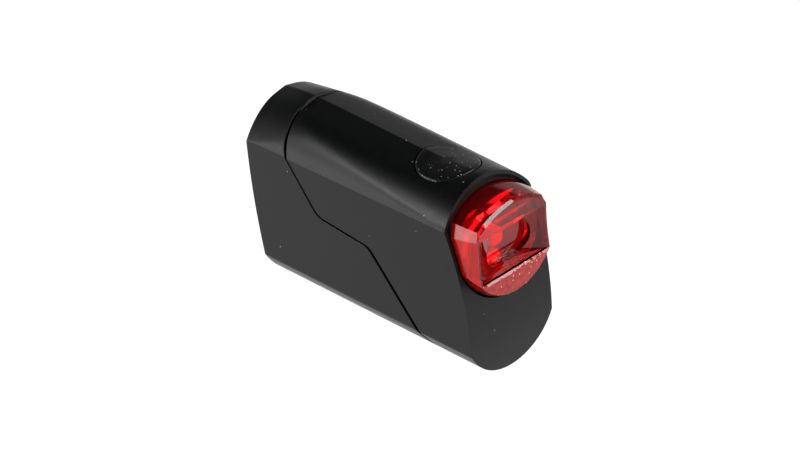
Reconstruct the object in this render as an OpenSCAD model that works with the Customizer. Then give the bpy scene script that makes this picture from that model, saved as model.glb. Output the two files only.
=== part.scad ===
// Battery rear light for a bicycle: a two-part shell that splits at a zigzag seam,
// a red lens, a push button on the ridge, and the electronics and cells inside.
// The lens faces -Y, the bracket seat at the other end faces +Y, and Z is up.

/* [Body] */
// Width across the side creases
body_w = 28; // [27:0.5:32]
// Length from the bracket seat to the front end of the crease
body_l = 60.5; // [59:0.1:70]
// Height of the side crease above the middle of the bracket seat
crease_z = 14; // [10:0.5:18]
// Height of the flat side below the crease
side_h = 30; // [28:0.5:36]
// Width across the lower corners of the sides
bottom_w = 26.8; // [26:0.1:28]
// Radius of the rounded underside
bottom_r = 15; // [14.5:0.1:20]
// Height of the level shoulders' ridge above the crease
ridge_h = 10.8; // [10:0.1:13]
// Radius of each level shoulder between crease and ridge
shoulder_r = 16; // [14:0.5:24]
// Height of the ridge above the crease at the front end
brow_h = 7.5; // [6.5:0.1:9]
// Height above the crease at which those shoulders start at the front end
brow_foot = 0.2; // [0.1:0.05:0.5]
// Radius of each shoulder that falls to the front
brow_r = 17; // [14:0.5:28]
// Fall of the ridge to the front, in degrees
brow_slope = 2.7; // [1:0.1:5]
// Height of the ridge above the crease at the bracket seat
tail_h = 9.4; // [8:0.1:11]
// Radius of each shoulder that falls to the rear
tail_r = 21; // [16:0.5:40]
// Fall of the ridge to the rear, in degrees
tail_slope = 7.1; // [3:0.1:12]
// Radius of the front face below the crease, seen from the side
front_r = 86; // [70:1:120]
// Lean of the front face at the crease, in degrees
front_rake = 23; // [15:0.5:28]
// Radius of the rear end face, seen from the side
back_r = 176; // [120:1:260]
// Radius of the rear end face, seen from above
back_bow_r = 120; // [80:1:170]
// Height above the crease at which the rear end reaches furthest
back_peak = 3; // [0:0.5:8]
// Wall of both shells
wall = 1.6; // [1.4:0.1:1.8]

/* [Seam] */
// Distance of the seam from the bracket seat at the ridge
seam_ridge = 7.5; // [5:0.1:9]
// Distance of the seam from the bracket seat at the crease
seam_crease = 11.6; // [9:0.1:14]
// Distance of the seam's upper corner from the bracket seat
seam_knee = 20.7; // [18:0.1:24]
// Depth of the seam's upper corner below the crease
seam_knee_drop = 11.6; // [10:0.1:12.5]
// Distance of the seam's lower corner from the bracket seat
seam_ankle = 36.8; // [32:0.1:40]
// Depth of the seam's lower corner below the crease
seam_ankle_drop = 13.3; // [12.8:0.1:16]
// Slope of the seam's lowest run, in degrees below level
seam_toe_slope = 48.6; // [42:0.1:56]
// Radius of the seam's corners
seam_round = 4; // [1:0.5:6]
// Width of the open seam
seam_gap = 0.5; // [0.4:0.05:0.8]
// Reach of the housing's locating lip into the cover
lip_reach = 2.4; // [1.5:0.1:4]
// Thickness of the locating lip
lip_t = 0.7; // [0.5:0.05:0.8]

/* [Lens] */
// Reach of the lens face in front of the crease
lens_reach = 7.1; // [5.5:0.1:9]
// Further reach of the lower lip
lip_bulge = 1.3; // [0.6:0.1:2]
// Radius of the lower lip seen from above
lip_r = 45; // [35:1:70]
// Width of the lens face
lens_face_w = 22.6; // [20:0.1:23.4]
// Height of the top of the lens face above the crease
lens_face_top = 4.3; // [2.5:0.1:4.8]
// Radius of the top of the lens
lens_top_r = 18; // [16:0.5:24]
// Depth of the foot of the lens face below the crease
lens_face_foot = 17.8; // [16.5:0.1:20]
// Depth of the lens opening's foot below the crease
lens_foot = 19.7; // [18.5:0.1:22]
// Radius of the lens opening's foot
lens_foot_r = 13.4; // [13:0.1:15]
// Housing wall left around the lens
lens_rim = 1.1; // [0.8:0.1:1.4]
// Gap between lens and housing
lens_gap = 0.2; // [0.1:0.05:0.3]
// Wall of the lens around its hollow back
lens_wall = 1.9; // [1.5:0.1:2.4]
// Depth of the scoop's upper edge below the crease
scoop_top = 1.4; // [0.6:0.1:2]
// Depth of the scoop's floor below the crease
scoop_floor = 12; // [11:0.1:13.5]
// Width of the scoop at the lens face
scoop_w = 21.4; // [19:0.1:21.8]
// Radius of the scoop
scoop_r = 27; // [22:0.5:34]
// Thickness of the lens behind the scoop
scoop_skin = 1.85; // [1.4:0.05:2.6]
// Width of the window in the scoop
window_w = 14.4; // [10:0.2:16]
// Height of the window in the scoop
window_h = 8.4; // [6:0.2:9.6]
// Depth of the reflector's rim behind the front of the lens's hollow
reflector_set = 1.65; // [1.4:0.05:2.4]
// Depth of the window behind the bottom of the scoop
window_d = 0.65; // [0.3:0.05:0.9]
// Thickness of the lens gasket
gasket_t = 0.8; // [0.5:0.1:1.2]
// Depth of the lens in the housing behind the crease's front end
lens_seat = 2.3; // [1.8:0.1:3]

/* [Button] */
// Radius of the button
button_r = 7.3; // [6:0.1:8]
// Distance of the button's middle from the front end of the crease
button_from_front = 11.7; // [10.5:0.1:14]
// Gap around the button
button_gap = 0.3; // [0.25:0.05:0.5]
// Height of the button above the ridge
button_proud = 0.3; // [0.1:0.05:0.6]
// Width of the flange that holds the button in
button_flange = 1; // [0.6:0.1:1.5]
// Travel of the button and of the switch under it
button_travel = 0.5; // [0.3:0.05:0.8]
// Radius of the button's stem
stem_r = 2; // [1.5:0.1:2.5]

/* [Bracket seat] */
// Width of the flat seat
seat_w = 19; // [17:0.5:21]
// Height of the flat seat
seat_h = 16; // [14:0.5:17]
// Depth of the seat below the rear end face, at its middle
seat_d = 2.1; // [1.2:0.1:2.6]
// Width of the slot's neck
slot_neck_w = 7; // [5:0.5:9]
// Depth of the slot's neck
slot_neck_d = 1.4; // [1:0.1:2]
// Width of the slot's head
slot_head_w = 11; // [9.5:0.5:14]
// Depth of the slot's head
slot_head_d = 1.6; // [1:0.1:2.2]
// Height of the slot's closed end above the middle of the seat
slot_top = 7; // [4:0.5:8]

/* [Cells and carrier] */
// Diameter of a cell
cell_d = 10.5; // [10.5:0.1:10.7]
// Length of a cell with its terminal
cell_l = 44.5; // [44:0.1:45]
// Diameter of a cell's terminal
terminal_d = 3.8; // [3:0.1:3.8]
// Height of a cell's terminal
terminal_h = 0.8; // [0.8:0.1:1.2]
// Gap between the two cells
cell_gap = 0.5; // [0.4:0.1:0.6]
// Depth of the cells' axis below the crease
cell_drop = 18.5; // [18:0.1:20]
// Play around a cell
cell_play = 0.2; // [0.1:0.05:0.3]
// Thickness of the carrier's end walls
carrier_end_t = 1.2; // [1:0.1:1.5]
// Thickness of the carrier's top plate
carrier_top_t = 2; // [1.8:0.1:2.6]
// Length of a cell spring when a cell is in place
spring_l = 3.2; // [3:0.1:4]
// Turns of a cell spring
spring_turns = 2.5; // [2:0.5:3]
// Radius of the spring wire
spring_wire_r = 0.25; // [0.2:0.05:0.3]
// Radius of the wide end of a spring
spring_base_r = 3.6; // [3:0.1:4]
// Radius of the narrow end of a spring
spring_tip_r = 2.3; // [1.8:0.1:2.6]
// Thickness of the contact plates
contact_t = 0.3; // [0.2:0.05:0.4]

/* [Boards] */
// Thickness of the circuit boards
board_t = 1.6; // [1.2:0.1:2]
// Depth of the main board's top below the crease
board_drop = 2; // [1.5:0.1:2.6]
// Width of the main board
board_w = 21; // [18:0.5:22]
// Distance of the main board's rear edge from the bracket seat
board_from_seat = 15; // [13:0.5:17]
// Distance between the screws across the body
screw_gauge = 16; // [14.5:0.5:17]
// Distance of the rear screws from the main board's rear edge
screw_inset = 4; // [3:0.5:6]
// Distance between the screws along the body
screw_pitch = 18; // [16:0.5:18.5]
// Radius of the screws' shanks
screw_r = 0.75; // [0.7:0.05:0.9]
// Radius of the screws' heads
screw_head_r = 1.9; // [1.6:0.1:2.2]
// Height of the screws' heads
screw_head_h = 1.1; // [0.8:0.1:1.3]
// Grip of the screws in the housing's bosses
screw_grip = 4; // [3:0.5:5]
// Radius of the screw bosses
boss_r = 2.2; // [1.9:0.1:2.6]
// Diameter of the light-emitting diode
led_d = 5; // [4.8:0.1:5.2]
// Height of the diode's collar
led_collar_h = 1; // [0.8:0.1:1.4]
// Width of the rim around the diode's collar
led_rim = 0.4; // [0.3:0.05:0.5]
// Width of the board that carries the diode
led_board_w = 15; // [13:0.5:16]
// Thickness of the board that carries the diode
led_board_t = 1.2; // [1:0.1:1.6]
// Gap between the two boards
board_space = 1; // [0.8:0.1:1.4]
// Side of the square switch
switch_w = 6; // [5:0.1:6.5]
// Height of the switch without its plunger
switch_h = 3.4; // [3:0.1:3.8]
// Radius of the switch's plunger
plunger_r = 1.75; // [1.4:0.05:1.9]
// Height of the plunger above the pressed switch
plunger_rise = 1; // [0.8:0.1:1.2]

/* [Hidden] */
$fn = 64;

// Clearances and small overlaps
slide_gap = 0.3;
running_gap = 0.05;
screw_tip_gap = 1;
touch_gap = 0.02;
merge = 0.01;
far = 120;

// Stations along the body, counted from the bracket seat towards the lens
front_y = -body_l;
button_y = front_y + button_from_front;
slot_floor_y = -slot_neck_d - slot_head_d;
cavity_y = slot_floor_y - wall;
carrier_rear_y = cavity_y - slide_gap;
cells_rear_y = carrier_rear_y - carrier_end_t - contact_t;
cells_front_y = cells_rear_y - cell_l - spring_l;
carrier_front_y = cells_front_y - contact_t - carrier_end_t;
board_rear_y = -board_from_seat;
board_front_y = button_y - switch_w / 2;
led_board_y = board_front_y - board_space;
led_base_y = led_board_y - led_board_t;
lens_face_y = front_y - lens_reach;
lens_lip_y = lens_face_y - lip_bulge;
gasket_y = front_y + lens_seat + gasket_t;
lens_back_y = front_y + lens_seat;

// Tabs of the two front contacts, which pass up through the carrier, and the wires on them
tab_w = 2;
tab_rise = 1;
tab_x = led_board_w / 2 + tab_w / 2;
lead_r = 0.55;
lead_end = 2;

// Margin of a contact plate inside its cell's outline
contact_inset = 1;

// Square pins between the boards
pin_w = 0.6;
pin_pitch = 2.54;
pin_reach = 3;

// Parts of the driver, in a row behind the switch
chip_size = [5, 4, 1.5];
inductor_size = [5, 5, 2.8];
capacitor_r = 2;
capacitor_h = 4.2;
resistor_size = [1.25, 2, 0.5];
resistor_grid = [5, 1.6];
row_step = 6.5;
chip_y = board_rear_y - screw_inset - screw_pitch / 2;

// Rings of the tube in each turn of a spring
turn_rings = 8;

// Slot across a screw's head
drive_w = 0.4;
drive_l = 2.3;
drive_d = 0.55;

// Levels
bottom_axis = side_h - sqrt(bottom_r * bottom_r - bottom_w * bottom_w / 4);
bottom_z = crease_z - bottom_axis - bottom_r;
board_top_z = crease_z - board_drop;
cell_z = crease_z - cell_drop;
cell_x = (cell_d + cell_gap) / 2;
carrier_top_z = cell_z + cell_d / 2 + cell_play + carrier_top_t;
scoop_z = crease_z - (scoop_top + scoop_floor) / 2;
plunger_top_z = board_top_z + switch_h + button_travel + plunger_rise;

// Axis of the front face, and where that face lies at a height
front_axis = [front_y, crease_z] + front_r * [cos(front_rake), -sin(front_rake)];
function front_face_y(z) = front_axis.x - sqrt(front_r * front_r - pow(front_axis.y - z, 2));

// The scoop's axis and its deepest place
scoop_axis_y = lens_face_y - sqrt(scoop_r * scoop_r - scoop_w * scoop_w / 4);
scoop_bottom_y = scoop_axis_y + scoop_r;
lens_hollow_y = scoop_bottom_y + scoop_skin;
led_tip_y = lens_hollow_y + slide_gap;

// Lens sides narrow from the opening to the face
lens_half = body_w / 2 - lens_rim - lens_gap;

function unit(v) = v / norm(v);

// Points of a round corner at q between the lines to p and s
function corner(p, q, s, r, steps = 6) =
    let (u = unit(p - q), v = unit(s - q), half = acos(u * v) / 2,
         centre = q + unit(u + v) * r / sin(half),
         a = unit(q + u * r / tan(half) - centre), b = unit(q + v * r / tan(half) - centre))
    [for (i = [0:steps]) centre + r * unit(a * (1 - i / steps) + b * i / steps)];

// Centre of a shoulder arc from the crease up to the ridge
function shoulder_centre(half_w, rise, r) =
    let (chord = norm([half_w, rise]), reach = sqrt(r * r - chord * chord / 4))
    [rise / chord * reach - half_w / 2, rise / 2 - half_w / chord * reach];

// Half the width between the sides at a height above the crease
function side_half(z) = body_w / 2 + (body_w - bottom_w) / 2 * z / side_h;

// Draws a flat shape of X and Z, drawn out along Y
module along_y(y_rear, y_front) {
    translate([0, y_rear, 0])
        rotate([90, 0, 0])
            linear_extrude(y_rear - y_front) children();
}

// Draws a flat shape of Y and Z, drawn out along X
module along_x(width) {
    translate([-width / 2, 0, 0])
        rotate([90, 0, 90])
            linear_extrude(width) children();
}

module two_shoulders(rise, r, inset) {
    c = shoulder_centre(body_w / 2, rise, r);
    intersection() {
        translate(c) circle(r - inset);
        translate([-c.x, c.y]) circle(r - inset);
    }
}

module between_sides(low, high, inset) {
    polygon([[-side_half(low) + inset, low], [side_half(low) - inset, low],
             [side_half(high) - inset, high], [-side_half(high) + inset, high]]);
}

// Cross-section of the body, drawn smaller by the inset
module section(inset) {
    zone = side_h / 4;
    translate([0, crease_z]) {
        intersection() {
            two_shoulders(ridge_h, shoulder_r, inset);
            between_sides(-zone, ridge_h + zone, inset);
        }
        between_sides(zone - side_h, -zone, inset);
        intersection() {
            translate([0, -bottom_axis]) circle(bottom_r - inset);
            between_sides(-side_h - bottom_r, zone - side_h, inset);
        }
    }
}

// Shoulders that fall along the body, with their foot at a height above the crease at one place
module falling_shoulders(y, foot, rise, r, inset, fall) {
    zone = ridge_h;
    translate([0, y, crease_z + foot])
        rotate([fall, 0, 0])
            along_y(far, -far) {
                intersection() {
                    two_shoulders(rise, r, inset);
                    translate([-body_w, -zone]) square([2 * body_w, 4 * zone]);
                }
                translate([-body_w, -2 * side_h]) square([2 * body_w, 2 * side_h - zone]);
            }
}

// Top that falls to the front
module brow(inset) {
    falling_shoulders(front_y, brow_foot, brow_h - brow_foot, brow_r, inset, brow_slope);
}

// The body's bar, without its ends
module bar(inset) {
    intersection() {
        along_y(far, -far) section(inset);
        brow(inset);
        falling_shoulders(0, 0, tail_h, tail_r, inset, -tail_slope);
    }
}

// Side view of the front face, with the upright brow above it
module side_view(front_inset) {
    translate([front_y + front_inset, crease_z]) square([far, far]);
    translate(front_axis) circle(front_r - front_inset, $fn = 360);
}

// The body's bar with its front face
module front_body() {
    intersection() {
        bar(0);
        along_x(2 * body_w) side_view(0);
    }
}

// Everything in front of the bowed rear end
module before_back() {
    back_z = crease_z + back_peak;
    back_y = seat_d + back_r - sqrt(back_r * back_r - back_z * back_z);
    translate([0, back_y - back_bow_r, back_z])
        rotate_extrude($fn = 360)
            intersection() {
                translate([back_bow_r - back_r, 0]) circle(back_r, $fn = 360);
                translate([0, -body_l]) square([2 * back_bow_r, 2 * body_l]);
            }
}

// Everything on the lens side of the seam, moved towards the seat by the shift
module lens_side(shift) {
    crease = [-seam_crease, crease_z];
    knee = [-seam_knee, crease_z - seam_knee_drop];
    ankle = [-seam_ankle, crease_z - seam_ankle_drop];
    toe = ankle - far * [cos(seam_toe_slope), sin(seam_toe_slope)];
    rise = (seam_crease - seam_ridge) / ridge_h;
    top = crease + far * [rise, 1];
    along_x(2 * body_w)
        translate([shift, 0])
            polygon(concat([top, crease], corner(crease, knee, ankle, seam_round),
                           corner(knee, ankle, toe, seam_round),
                           [toe, [-2 * far, toe.y], [-2 * far, top.y]]));
}

// A ring of the body's wall between two insets, in a band along the seam
module seam_band(outer, inner, shift_low, shift_high) {
    difference() {
        intersection() {
            bar(outer);
            lens_side(shift_high);
            along_x(2 * body_w) side_view(outer);
        }
        bar(inner);
        lens_side(shift_low);
    }
}

// Outline of the lens opening, drawn smaller by the inset
module lens_outline(inset) {
    axis_z = crease_z - lens_foot + lens_foot_r;
    intersection() {
        section(lens_rim + inset);
        union() {
            translate([0, axis_z]) circle(lens_foot_r - inset);
            translate([-body_w, axis_z]) square([2 * body_w, far]);
        }
    }
}

module lens_block(inset, y_rear, y_front) {
    intersection() {
        along_y(y_rear, y_front) lens_outline(inset);
        brow(lens_rim + inset);
    }
}

// T-shaped slot that takes the bracket's head from below
module bracket_slot() {
    along_y(merge, -slot_neck_d - merge)
        translate([-slot_neck_w / 2, -far]) square([slot_neck_w, far + slot_top]);
    along_y(-slot_neck_d, slot_floor_y)
        translate([-slot_head_w / 2, -far]) square([slot_head_w, far + slot_top]);
}

module at_screws() {
    for (side = [-1, 1], row = [0, 1])
        translate([side * screw_gauge / 2, board_rear_y - screw_inset - row * screw_pitch, 0]) children();
}

module battery_cover() {
    color("#26282b")
        difference() {
            intersection() {
                front_body();
                before_back();
            }
            lens_side(seam_gap);
            intersection() {
                bar(wall);
                translate([-far, cavity_y - 2 * far, -far]) cube(2 * far);
            }
            translate([-seat_w / 2, 0, -seat_h / 2]) cube([seat_w, far, seat_h]);
            bracket_slot();
        }
}

module lens_housing() {
    color("#1d1f22") {
        difference() {
            intersection() {
                front_body();
                lens_side(0);
            }
            intersection() {
                bar(wall);
                along_x(2 * body_w) side_view(wall);
                translate([-far, gasket_y, -far]) cube(2 * far);
            }
            intersection() {
                bar(wall);
                along_x(2 * body_w) side_view(wall);
                translate([-far, -far, crease_z - lens_foot - wall - far]) cube([2 * far, 2 * far, far]);
            }
            lens_block(0, gasket_y + merge, -far);
            translate([0, button_y, crease_z]) cylinder(r = button_r + button_gap, h = far);
        }
        difference() {
            intersection() {
                at_screws() translate([0, 0, board_top_z]) cylinder(r = boss_r, h = far);
                bar(wall / 2);
            }
            at_screws()
                translate([0, 0, board_top_z - merge])
                    cylinder(r = screw_r + running_gap, h = screw_grip + screw_tip_gap);
        }
        seam_band(wall / 2, wall + slide_gap + lip_t, -lip_reach, -merge);
        seam_band(wall + slide_gap, wall + slide_gap + lip_t, -lip_reach, lip_reach);
    }
}

module cover_seal() {
    color("#0c0c0d") seam_band(wall / 3, wall, touch_gap, seam_gap - 0.1);
}

// Solid form of the lens before it is scooped and hollowed
module lens_form(inset) {
    top_fall = brow_h - lens_rim - lens_gap - lens_face_top;
    foot_run = front_face_y(crease_z - lens_foot) - lens_lip_y;
    foot_rise = lens_foot - lens_gap - lens_face_foot;
    foot_r = lens_foot_r - lens_gap - inset;
    flank_lean = atan((front_y - front_face_y(crease_z - scoop_floor)) / scoop_floor);
    narrowing = (lens_half - lens_face_w / 2) / (lens_reach * cos(flank_lean));
    flank_front = -2 * lens_reach;
    flank_rear = 5 * lens_reach;
    front_half = lens_face_w / 2 + flank_front * narrowing - inset;
    rear_half = lens_face_w / 2 + flank_rear * narrowing - inset;
    intersection() {
        lens_block(lens_gap + inset, lens_back_y, -far);
        translate([0, lens_face_y, crease_z + lens_face_top])
            rotate([atan(top_fall / lens_reach), 0, 0])
                translate([0, 0, -lens_top_r])
                    rotate([90, 0, 0]) cylinder(r = lens_top_r - inset, h = far, center = true);
        translate([0, lens_lip_y, crease_z - lens_face_foot])
            rotate([-atan(foot_rise / foot_run), 0, 0])
                translate([0, 0, lens_foot_r - lens_gap])
                    rotate([90, 0, 0]) {
                        cylinder(r = foot_r, h = far, center = true);
                        translate([-body_w, 0, -far / 2]) cube([2 * body_w, far, far]);
                    }
        translate([0, lens_face_y, crease_z])
            rotate([-flank_lean, 0, 0])
                linear_extrude(2 * far, center = true)
                    polygon([[-rear_half, flank_rear], [-front_half, flank_front],
                             [front_half, flank_front], [rear_half, flank_rear]]);
        union() {
            translate([-far, lens_face_y, scoop_z]) cube(2 * far);
            translate([0, lens_lip_y + lip_r, scoop_z - far]) cylinder(r = lip_r, h = far + merge);
        }
    }
}

module lens() {
    color("#c8141c", 0.75)
        difference() {
            lens_form(0);
            translate([0, scoop_axis_y, crease_z - scoop_floor])
                cylinder(r = scoop_r, h = scoop_floor - scoop_top);
            translate([0, 0, scoop_z])
                along_y(scoop_bottom_y + window_d, scoop_axis_y)
                    union() {
                        square([window_w - window_h, window_h], center = true);
                        for (side = [-1, 1])
                            translate([side * (window_w - window_h) / 2, 0]) circle(window_h / 2);
                    }
            intersection() {
                lens_form(lens_wall);
                translate([-far, lens_hollow_y, -far]) cube(2 * far);
            }
            along_y(lens_back_y + merge, lens_back_y - 2 * merge) lens_outline(lens_gap + lens_wall);
        }
}

module lens_gasket() {
    color("#151515")
        difference() {
            lens_block(lens_gap, gasket_y - touch_gap, lens_back_y + touch_gap);
            lens_block(lens_gap + lens_wall, 0, -far);
        }
}

module reflector() {
    bowl_r = lens_face_w / 2;
    rear_y = led_base_y - led_collar_h - touch_gap;
    rim_y = lens_hollow_y + slide_gap + reflector_set;
    top_z = crease_z + lens_face_top - lens_wall - slide_gap;
    stem_w = led_board_w - 2 * slide_gap;
    color("#d9dadd")
        difference() {
            intersection() {
                lens_block(lens_gap + lens_wall + slide_gap, rear_y, rim_y);
                union() {
                    translate([-stem_w / 2, -far, carrier_top_z + slide_gap]) cube([stem_w, 2 * far, far]);
                    translate([-far, carrier_front_y - slide_gap - far, -far]) cube([2 * far, far, 2 * far]);
                }
                translate([-far, -far, top_z - 2 * far]) cube(2 * far);
            }
            translate([0, rear_y + merge, scoop_z])
                rotate([90, 0, 0]) cylinder(r = led_d / 2 + slide_gap, h = far);
            translate([0, rear_y - wall / 2 - bowl_r, scoop_z]) sphere(bowl_r);
        }
}

module led() {
    color("#ff5a4a")
        translate([0, led_base_y, scoop_z])
            rotate([90, 0, 0]) {
                cylinder(r = led_d / 2 + led_rim, h = led_collar_h);
                cylinder(r = led_d / 2, h = led_base_y - led_tip_y - led_d / 2);
                translate([0, 0, led_base_y - led_tip_y - led_d / 2]) sphere(led_d / 2);
            }
}

module led_board() {
    low = carrier_top_z + slide_gap;
    color("#1f5b34")
        translate([-led_board_w / 2, led_base_y + touch_gap, low])
            cube([led_board_w, led_board_y - led_base_y - touch_gap, crease_z - low]);
}

module board_link_pins() {
    pin_z = board_top_z - board_t - 2 * pin_w;
    color("#c9a54a")
        for (side = [-1, 1])
            translate([(side * pin_pitch - pin_w) / 2, led_board_y, pin_z]) {
                translate([0, touch_gap, 0]) cube([pin_w, pin_reach, pin_w]);
                translate([0, pin_reach - pin_w, 0]) cube([pin_w, pin_w, 2 * pin_w - touch_gap]);
            }
}

module main_board() {
    color("#1f5b34")
        difference() {
            translate([-board_w / 2, board_front_y, board_top_z - board_t])
                cube([board_w, board_rear_y - board_front_y, board_t - touch_gap]);
            at_screws() translate([0, 0, board_top_z - far / 2]) cylinder(r = screw_r + slide_gap, h = far);
        }
}

// A block on the main board, placed by its middle
module on_board(x, y, size) {
    translate([x - size.x / 2, y - size.y / 2, board_top_z + touch_gap]) cube(size);
}

module driver_chip() {
    color("#161616") on_board(0, chip_y, chip_size);
}

module inductor() {
    color("#3b3b3d") on_board(0, chip_y + row_step, inductor_size);
}

module capacitor() {
    color("#b9bbc0")
        translate([0, chip_y - row_step, board_top_z + touch_gap]) cylinder(r = capacitor_r, h = capacitor_h);
}

module resistors() {
    color("#202225")
        for (side = [-1, 1], row = [-1, 1])
            on_board(side * resistor_grid.x, chip_y + row * resistor_grid.y, resistor_size);
}

module switch_body() {
    color("#2a2a2c")
        difference() {
            on_board(0, button_y, [switch_w, switch_w, switch_h]);
            translate([0, button_y, board_top_z + switch_h / 2])
                cylinder(r = plunger_r + running_gap, h = switch_h);
        }
}

module switch_plunger() {
    low = board_top_z + switch_h / 2 + button_travel + slide_gap;
    color("#e8e2d0")
        translate([0, button_y, low]) cylinder(r = plunger_r, h = plunger_top_z - low);
}

module button_cap() {
    under = wall + slide_gap;
    color("#17181a") {
        difference() {
            intersection() {
                union() {
                    intersection() {
                        bar(-button_proud);
                        translate([0, button_y, crease_z]) cylinder(r = button_r, h = far);
                    }
                    intersection() {
                        bar(under);
                        translate([0, button_y, crease_z])
                            cylinder(r = button_r + button_gap + button_flange, h = far);
                    }
                }
                translate([-far, -far, crease_z]) cube(2 * far);
            }
            bar(under + wall / 2);
        }
        intersection() {
            translate([0, button_y, plunger_top_z + touch_gap]) cylinder(r = stem_r, h = far);
            bar(wall);
        }
    }
}

module battery_carrier() {
    end_low = cell_z - cell_d / 2;
    width = 2 * (side_half(-cell_drop) - wall - lip_t - 2 * slide_gap);
    head_top_z = carrier_top_z - carrier_top_t + screw_head_h;
    color("#2f3134")
        difference() {
            union() {
                translate([-width / 2, carrier_front_y, carrier_top_z - carrier_top_t])
                    cube([width, carrier_rear_y - carrier_front_y, carrier_top_t]);
                for (y = [carrier_front_y, carrier_rear_y - carrier_end_t])
                    translate([-width / 2, y, end_low])
                        cube([width, carrier_end_t, carrier_top_z - end_low]);
                at_screws()
                    translate([0, 0, carrier_top_z - merge])
                        cylinder(r = boss_r, h = board_top_z - board_t - carrier_top_z - touch_gap);
            }
            at_screws()
                translate([0, 0, cell_z]) {
                    cylinder(r = screw_r + slide_gap, h = far);
                    cylinder(r = screw_head_r + slide_gap, h = head_top_z - cell_z);
                }
            contact_tab_slots();
        }
}

// Slots in the carrier's top plate for the tabs of the two front contacts
module contact_tab_slots() {
    for (side = [-1, 1])
        contact_tab(side, slide_gap);
}

module contact_tab(side, play) {
    translate([side * tab_x - tab_w / 2 - play, cells_front_y - contact_t, cell_z])
        cube([tab_w + 2 * play, contact_t - touch_gap + play, carrier_top_z - cell_z + tab_rise + play]);
}

module carrier_screws() {
    head_z = carrier_top_z - carrier_top_t + touch_gap;
    color("#9a9ca1")
        at_screws()
            difference() {
                union() {
                    translate([0, 0, head_z]) cylinder(r = screw_head_r, h = screw_head_h - 2 * touch_gap);
                    translate([0, 0, head_z]) cylinder(r = screw_r, h = board_top_z + screw_grip - head_z);
                }
                for (turn = [0, 90])
                    rotate(turn) translate([-drive_l / 2, -drive_w / 2, head_z - merge])
                        cube([drive_l, drive_w, drive_d]);
            }
}

// A cell that stands on its flat end at the origin and points along +Y
module cell() {
    rotate([-90, 0, 0]) {
        cylinder(d = cell_d, h = cell_l - terminal_h);
        cylinder(d = terminal_d, h = cell_l);
    }
}

module cell_left() {
    color("#3f6f9f")
        translate([-cell_x, cells_rear_y - spring_l, cell_z]) mirror([0, 1, 0]) cell();
}

module cell_right() {
    color("#3f6f9f")
        translate([cell_x, cells_front_y + spring_l, cell_z]) cell();
}

// Flat contact plate behind one cell's end
module contact_plate(x, width, y) {
    translate([x - width / 2, y, cell_z - cell_d / 2 + contact_inset])
        cube([width, contact_t - touch_gap, cell_d - 2 * contact_inset]);
}

module bridge_contact() {
    color("#c8cacd") contact_plate(0, 2 * cell_x + cell_d - 2 * contact_inset, cells_rear_y + touch_gap);
}

module positive_contact() {
    color("#c8cacd") {
        contact_plate(-cell_x, cell_d - 2 * contact_inset, cells_front_y - contact_t);
        contact_tab(-1, 0);
    }
}

module negative_contact() {
    mirror([1, 0, 0]) positive_contact();
}

// Points along a cone-shaped spring that stands on the origin and points along +Z
function spring_path() =
    let (steps = spring_turns * turn_rings, low = spring_wire_r + touch_gap, high = spring_l - low)
    [for (i = [0:steps])
        let (k = i / steps, turn = 360 * spring_turns * k,
             r = spring_base_r + (spring_tip_r - spring_base_r) * k)
        [r * cos(turn), r * sin(turn), low + (high - low) * k]];

// Six-sided tube along a path
function tube_points(path, r, sides) =
    [for (i = [0:len(path) - 1])
        let (ahead = path[min(i + 1, len(path) - 1)] - path[max(i - 1, 0)], t = unit(ahead),
             side = unit(cross(t, abs(t.z) < 0.9 ? [0, 0, 1] : [1, 0, 0])), over = cross(side, t))
        for (j = [0:sides - 1])
            path[i] + r * (cos(360 * j / sides) * side + sin(360 * j / sides) * over)];

module tube(path, r, sides) {
    rings = len(path);
    walls = [for (i = [0:rings - 2], j = [0:sides - 1])
        let (k = (j + 1) % sides, a = i * sides + j, b = i * sides + k, c = b + sides, d = a + sides)
        each [[a, b, c], [a, c, d]]];
    ends = [for (j = [1:sides - 2])
        each [[0, j + 1, j], [(rings - 1) * sides, (rings - 1) * sides + j, (rings - 1) * sides + j + 1]]];
    polyhedron(tube_points(path, r, sides), concat(walls, ends));
}

// Least gap between one turn of the spring and the next
function turn_gap(path) =
    min([for (i = [turn_rings:len(path) - 1]) norm(path[i] - path[i - turn_rings])]) - 2 * spring_wire_r;

echo(spring_self_gap = turn_gap(spring_path()));

module spring_rear() {
    color("#b8babd")
        translate([-cell_x, cells_rear_y, cell_z])
            rotate([90, 0, 0]) tube(spring_path(), spring_wire_r, 6);
}

module spring_front() {
    color("#b8babd")
        translate([cell_x, cells_front_y, cell_z])
            rotate([-90, 0, 0]) tube(spring_path(), spring_wire_r, 6);
}

// Wire from a front contact's tab up to the underside of the main board
module lead(side) {
    x = side * tab_x;
    tab_y = cells_front_y - contact_t / 2;
    tab_z = carrier_top_z + tab_rise + touch_gap;
    board_z = board_top_z - board_t - touch_gap;
    end_y = board_front_y + lead_end;
    half = (board_z - tab_z) / 2;
    rise = [0, 0.3, 0.7, 1, 1.3, 1.7, 2] * half;
    run = [0, 0, 0.1, 0.5, 0.9, 1, 1] * (end_y - tab_y);
    tube([for (i = [0:len(rise) - 1]) [x, tab_y + run[i], tab_z + rise[i]]], lead_r, 8);
}

module lead_positive() {
    color("#b32020") lead(-1);
}

module lead_negative() {
    color("#1a1a1a") lead(1);
}

battery_cover();
lens_housing();
cover_seal();
lens();
lens_gasket();
reflector();
led();
led_board();
board_link_pins();
main_board();
driver_chip();
inductor();
capacitor();
resistors();
switch_body();
switch_plunger();
button_cap();
battery_carrier();
carrier_screws();
cell_left();
cell_right();
bridge_contact();
positive_contact();
negative_contact();
spring_rear();
spring_front();
lead_positive();
lead_negative();
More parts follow.
